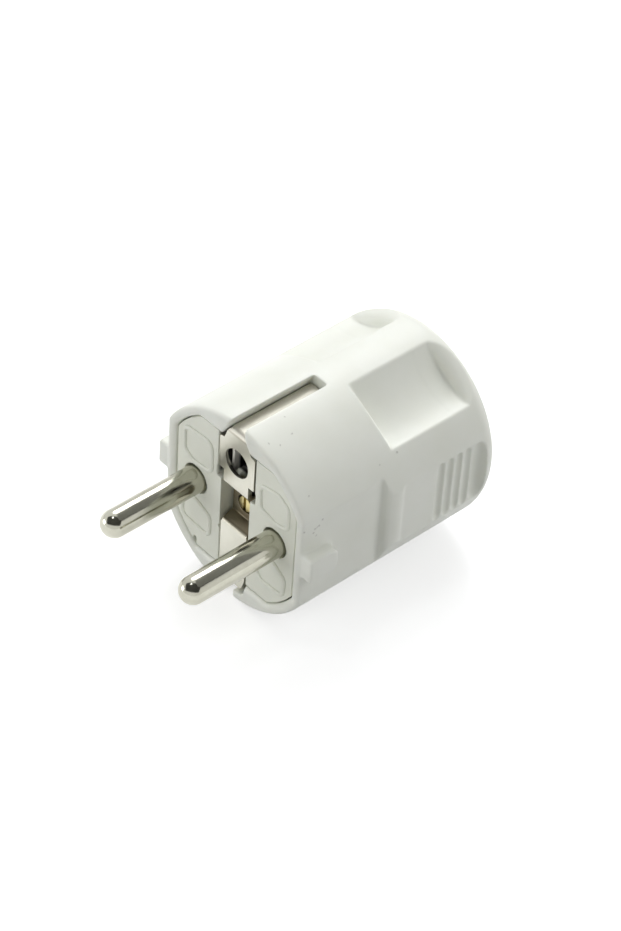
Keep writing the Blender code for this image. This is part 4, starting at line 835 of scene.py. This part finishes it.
def stripEdge(line, thick):  # the strip's edge view round its middle line
    left, right = [], []
    for i, point in enumerate(line):
        before, after = line[max(i - 1, 0)], line[min(i + 1, len(line) - 1)]
        coming = (point - before) if i else (after - point)
        going = (after - point) if i < len(line) - 1 else coming
        coming, going = coming.normalized(), going.normalized()
        along = (coming + going).normalized()
        across = Vector((-along.y, along.x)) * (thick / 2 / math.cos(coming.angle(going) / 2))
        left.append(point + across)
        right.append(point - across)
    return [tuple(point) for point in left + right[::-1]]


def bracketStrip():  # bent over the shell's top, down the face and through the recess
    s = bracketSet
    half, bend, tight = s["thick"] / 2, s["mainBend"], s["stepBend"]
    contact, floor, step = s["contactZ"] - half, s["depth"] + half, s["stepZ"] + half
    corners = [
        ((s["rear"], contact), 0), ((half, contact), bend), ((half, step), tight), ((floor, step), tight),
        ((floor, s["lowRear"]), tight), ((half, s["lowFront"]), tight), ((half, -contact), bend),
        ((s["rear"], -contact), 0),
    ]
    edge = stripEdge(bentLine(corners), s["thick"])
    return outlineBlock("earthBracket", edge, "X", -s["blankHalf"], s["blankHalf"])


def bracketBlank():  # the flat outline that the strip is cut to, seen from the front
    s = bracketSet
    shoulder, bevel, end = s["shoulder"], s["bevel"], s["blankHigh"]
    upper, neck, lower, low = s["upperHalf"], s["neckHalf"], s["lowerHalf"], s["lowFront"]
    right = [(s["stripHalf"], end)] + s["throat"]
    right += [(upper - bevel, shoulder), (upper, shoulder - bevel), (upper, s["upperLow"])]
    right += [(neck, s["upperLow"]), (neck, low), (lower, low - bevel)]
    right += [(min(x, lower), -z) for x, z in reversed(s["throat"])] + [(s["stripHalf"], -end)]
    return outlineBlock("blank", bothSides(right), "Y", *s["blankDepths"])


def earthBracket():
    s = bracketSet
    bracket = carve(bracketStrip(), bracketBlank(), "INTERSECT")
    carve(bracket, roundStack("earthHole", s["hole"], 96, "Y", (0, 0, s["holeZ"])))
    carve(bracket, roundStack("screwHole", s["screwHole"], 64))
    return roundEdges(bracket, s["edge"], 3, 32)


finishPiece(earthBracket(), stripMetal, "earth_bracket", evened=True)


# Earth pin clip
clipSet = {
    "thick": 0.5, "front": 1.15, "mouth": 2.15, "pinch": 2.1, "pinchY": 2.3, "back": 2.75,
    "waist": 10.2, "end": 16.85, "bend": 0.8, "low": 6.3, "top": 12.2, "holeZ": 10.0,
    "boss": [(14.7, 1.9), (16.85, 1.9)], "bore": [(13.7, 1.5), (19, 1.5)], "edge": 0.1,
}


def earthPinClip():
    s = clipSet
    bend, middle = s["bend"], (0, 0, s["holeZ"])
    right = [((s["mouth"], s["front"]), 0), ((s["pinch"], s["pinchY"]), bend),
             ((s["back"], s["waist"]), bend), ((s["back"], s["end"]), bend)]
    corners = right + [((-x, y), radius) for (x, y), radius in reversed(right)]
    edge = stripEdge(bentLine(corners), s["thick"])
    clip = outlineBlock("earthPinClip", edge, "Z", s["low"], s["top"])
    carve(clip, roundStack("clipBoss", s["boss"], 48, "Y", middle), "UNION")
    carve(clip, roundStack("clipBore", s["bore"], 48, "Y", middle))
    return roundEdges(clip, s["edge"], 2, 32)


finishPiece(earthPinClip(), springMetal, "earth_pin_clip", evened=True)


# Assembly screw, whose slotted end shows in the recess
screwSet = {
    "line": [
        (2.15, 1.25), (2.21, 1.39), (2.35, 1.45), (3.5, 1.45), (3.5, 2.6), (5.0, 2.6), (5.0, 1.5),
        (22.6, 1.5), (23.1, 1.0),
    ],
    "slotX": (-0.3, 0.3), "slotY": (0, 2.75), "slotZ": (-3, 3),
}


def assemblyScrew():
    s = screwSet
    screw = roundStack("assemblyScrew", s["line"], 72)
    return carve(screw, plainBlock("screwSlot", s["slotX"], s["slotY"], s["slotZ"]))


finishPiece(assemblyScrew(), turnedBrass, "assembly_screw")


# The inner pieces keep their CAD shapes and get their finishes
innerFinish = {
    "terminal_block_left": turnedBrass, "terminal_block_right": turnedBrass, "assembly_nut": turnedBrass,
    "terminal_screw_left": zincSteel, "terminal_screw_right": zincSteel,
    "earth_terminal_washer": zincSteel, "earth_terminal_screw": zincSteel,
    "cord_clamp_bar": insertPlastic,
    "cord_clamp_screw_left": zincSteel, "cord_clamp_screw_right": zincSteel,
    "cord_clamp_nut_left": zincSteel, "cord_clamp_nut_right": zincSteel,
}
for node, material in innerFinish.items():
    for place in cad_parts[node].material_slots:
        place.material = material
print("inner pieces finished")


# Floor, studio cards, lamps and world
def eyeRays(nodes, links):  # 1 where a camera, glossy or transmission ray looks, else 0
    path = nodes.new("ShaderNodeLightPath")
    found = path.outputs["Is Camera Ray"]
    for ray in ("Is Glossy Ray", "Is Transmission Ray"):
        either = nodes.new("ShaderNodeMath")
        either.operation = "MAXIMUM"
        links.new(found, either.inputs[0])
        links.new(path.outputs[ray], either.inputs[1])
        found = either.outputs[0]
    return found


floorSet = {"size": 6.0, "colour": (0.44, 0.44, 0.44), "seen": (0.8, 0.8, 0.8), "lift": 0.54, "matt": 0.9}
bpy.ops.object.select_all(action="DESELECT")
bpy.ops.mesh.primitive_plane_add(size=floorSet["size"], location=(0, 0, 0))
floor = bpy.context.active_object
floor.name = "floor"
floorDesk = MaterialDesk("paleFloor")
seen = eyeRays(floorDesk.nodes, floorDesk.links)
floorColour = floorDesk.mixed(seen, floorSet["colour"], floorSet["seen"])
floorDesk.links.new(floorColour, floorDesk.shader.inputs["Base Color"])
floorDesk.shader.inputs["Roughness"].default_value = floorSet["matt"]
floorDesk.shader.inputs["Specular IOR Level"].default_value = 0.0
floorDesk.shader.inputs["Emission Color"].default_value = (1, 1, 1, 1)
lift = floorDesk.eased(seen, "MULTIPLY", floorSet["lift"])
floorDesk.links.new(lift, floorDesk.shader.inputs["Emission Strength"])
floor.data.materials.append(floorDesk.material)


plugMiddle = (0, 0, 18)


def aimed(thing, place):
    thing.location = Vector(place) * mm
    sight = Vector(plugMiddle) * mm - thing.location
    thing.rotation_euler = sight.to_track_quat("-Z", "Y").to_euler()


# Cards round the table, which the metal mirrors; the camera looks past them
cardSet = {
    "darkCard": {"place": (205, -270, 620), "size": (2000, 1000, 1), "colour": (0.12, 0.12, 0.11)},
    "greyCard": {"place": (200, 420, 660), "size": (700, 620, 1), "colour": (0.6, 0.6, 0.58)},
}
for name, look in cardSet.items():
    bpy.ops.mesh.primitive_plane_add(size=mm)
    card = bpy.context.active_object
    card.name = name
    card.scale = look["size"]
    aimed(card, look["place"])
    cardDesk = MaterialDesk(name)
    cardDesk.shader.inputs["Base Color"].default_value = (*look["colour"], 1)
    cardDesk.shader.inputs["Roughness"].default_value = floorSet["matt"]
    card.data.materials.append(cardDesk.material)
    card.visible_camera = False

lampColour = (0.975, 0.98, 1.0)
lampSet = {
    "softboxKey": {"place": (-300, 260, 450), "size": 230, "power": 1.0, "mirrored": True, "lights": True},
    "softboxWide": {"place": (-480, 360, 700), "size": 760, "power": 2.6, "mirrored": False, "lights": True},
    "softboxFront": {"place": (-380, -420, 50), "size": 250, "power": 0.8, "mirrored": True, "lights": False},
    "softboxFace": {"place": (-120, -620, 200), "size": 420, "power": 1.4, "mirrored": False, "lights": True},
    "softboxRight": {"place": (420, 330, 450), "size": 420, "power": 1.25, "mirrored": False, "lights": True},
    "smallLamp": {"place": (-90, -150, 600), "size": 70, "power": 0.2, "mirrored": True, "lights": True},
}
for name, look in lampSet.items():
    bpy.ops.object.light_add(type="AREA")
    lamp = bpy.context.active_object
    lamp.name = name
    lamp.data.shape = "SQUARE"
    lamp.data.size = look["size"] * mm
    lamp.data.energy = look["power"]
    lamp.data.color = lampColour
    lamp.visible_glossy = look["mirrored"]
    lamp.visible_diffuse = look["lights"]
    aimed(lamp, look["place"])

worldSet = {"lights": 0.56, "seen": 1.0}
world = bpy.data.worlds.new("studio")
bpy.context.scene.world = world
world.use_nodes = True
nodes, links = world.node_tree.nodes, world.node_tree.links
ground = nodes["Background"]
ground.inputs["Color"].default_value = (1, 1, 1, 1)
worldLevel = nodes.new("ShaderNodeMapRange")
worldLevel.inputs["To Min"].default_value = worldSet["lights"]
worldLevel.inputs["To Max"].default_value = worldSet["seen"]
links.new(eyeRays(nodes, links), worldLevel.inputs["Value"])
links.new(worldLevel.outputs["Result"], ground.inputs["Strength"])
print("stage set")
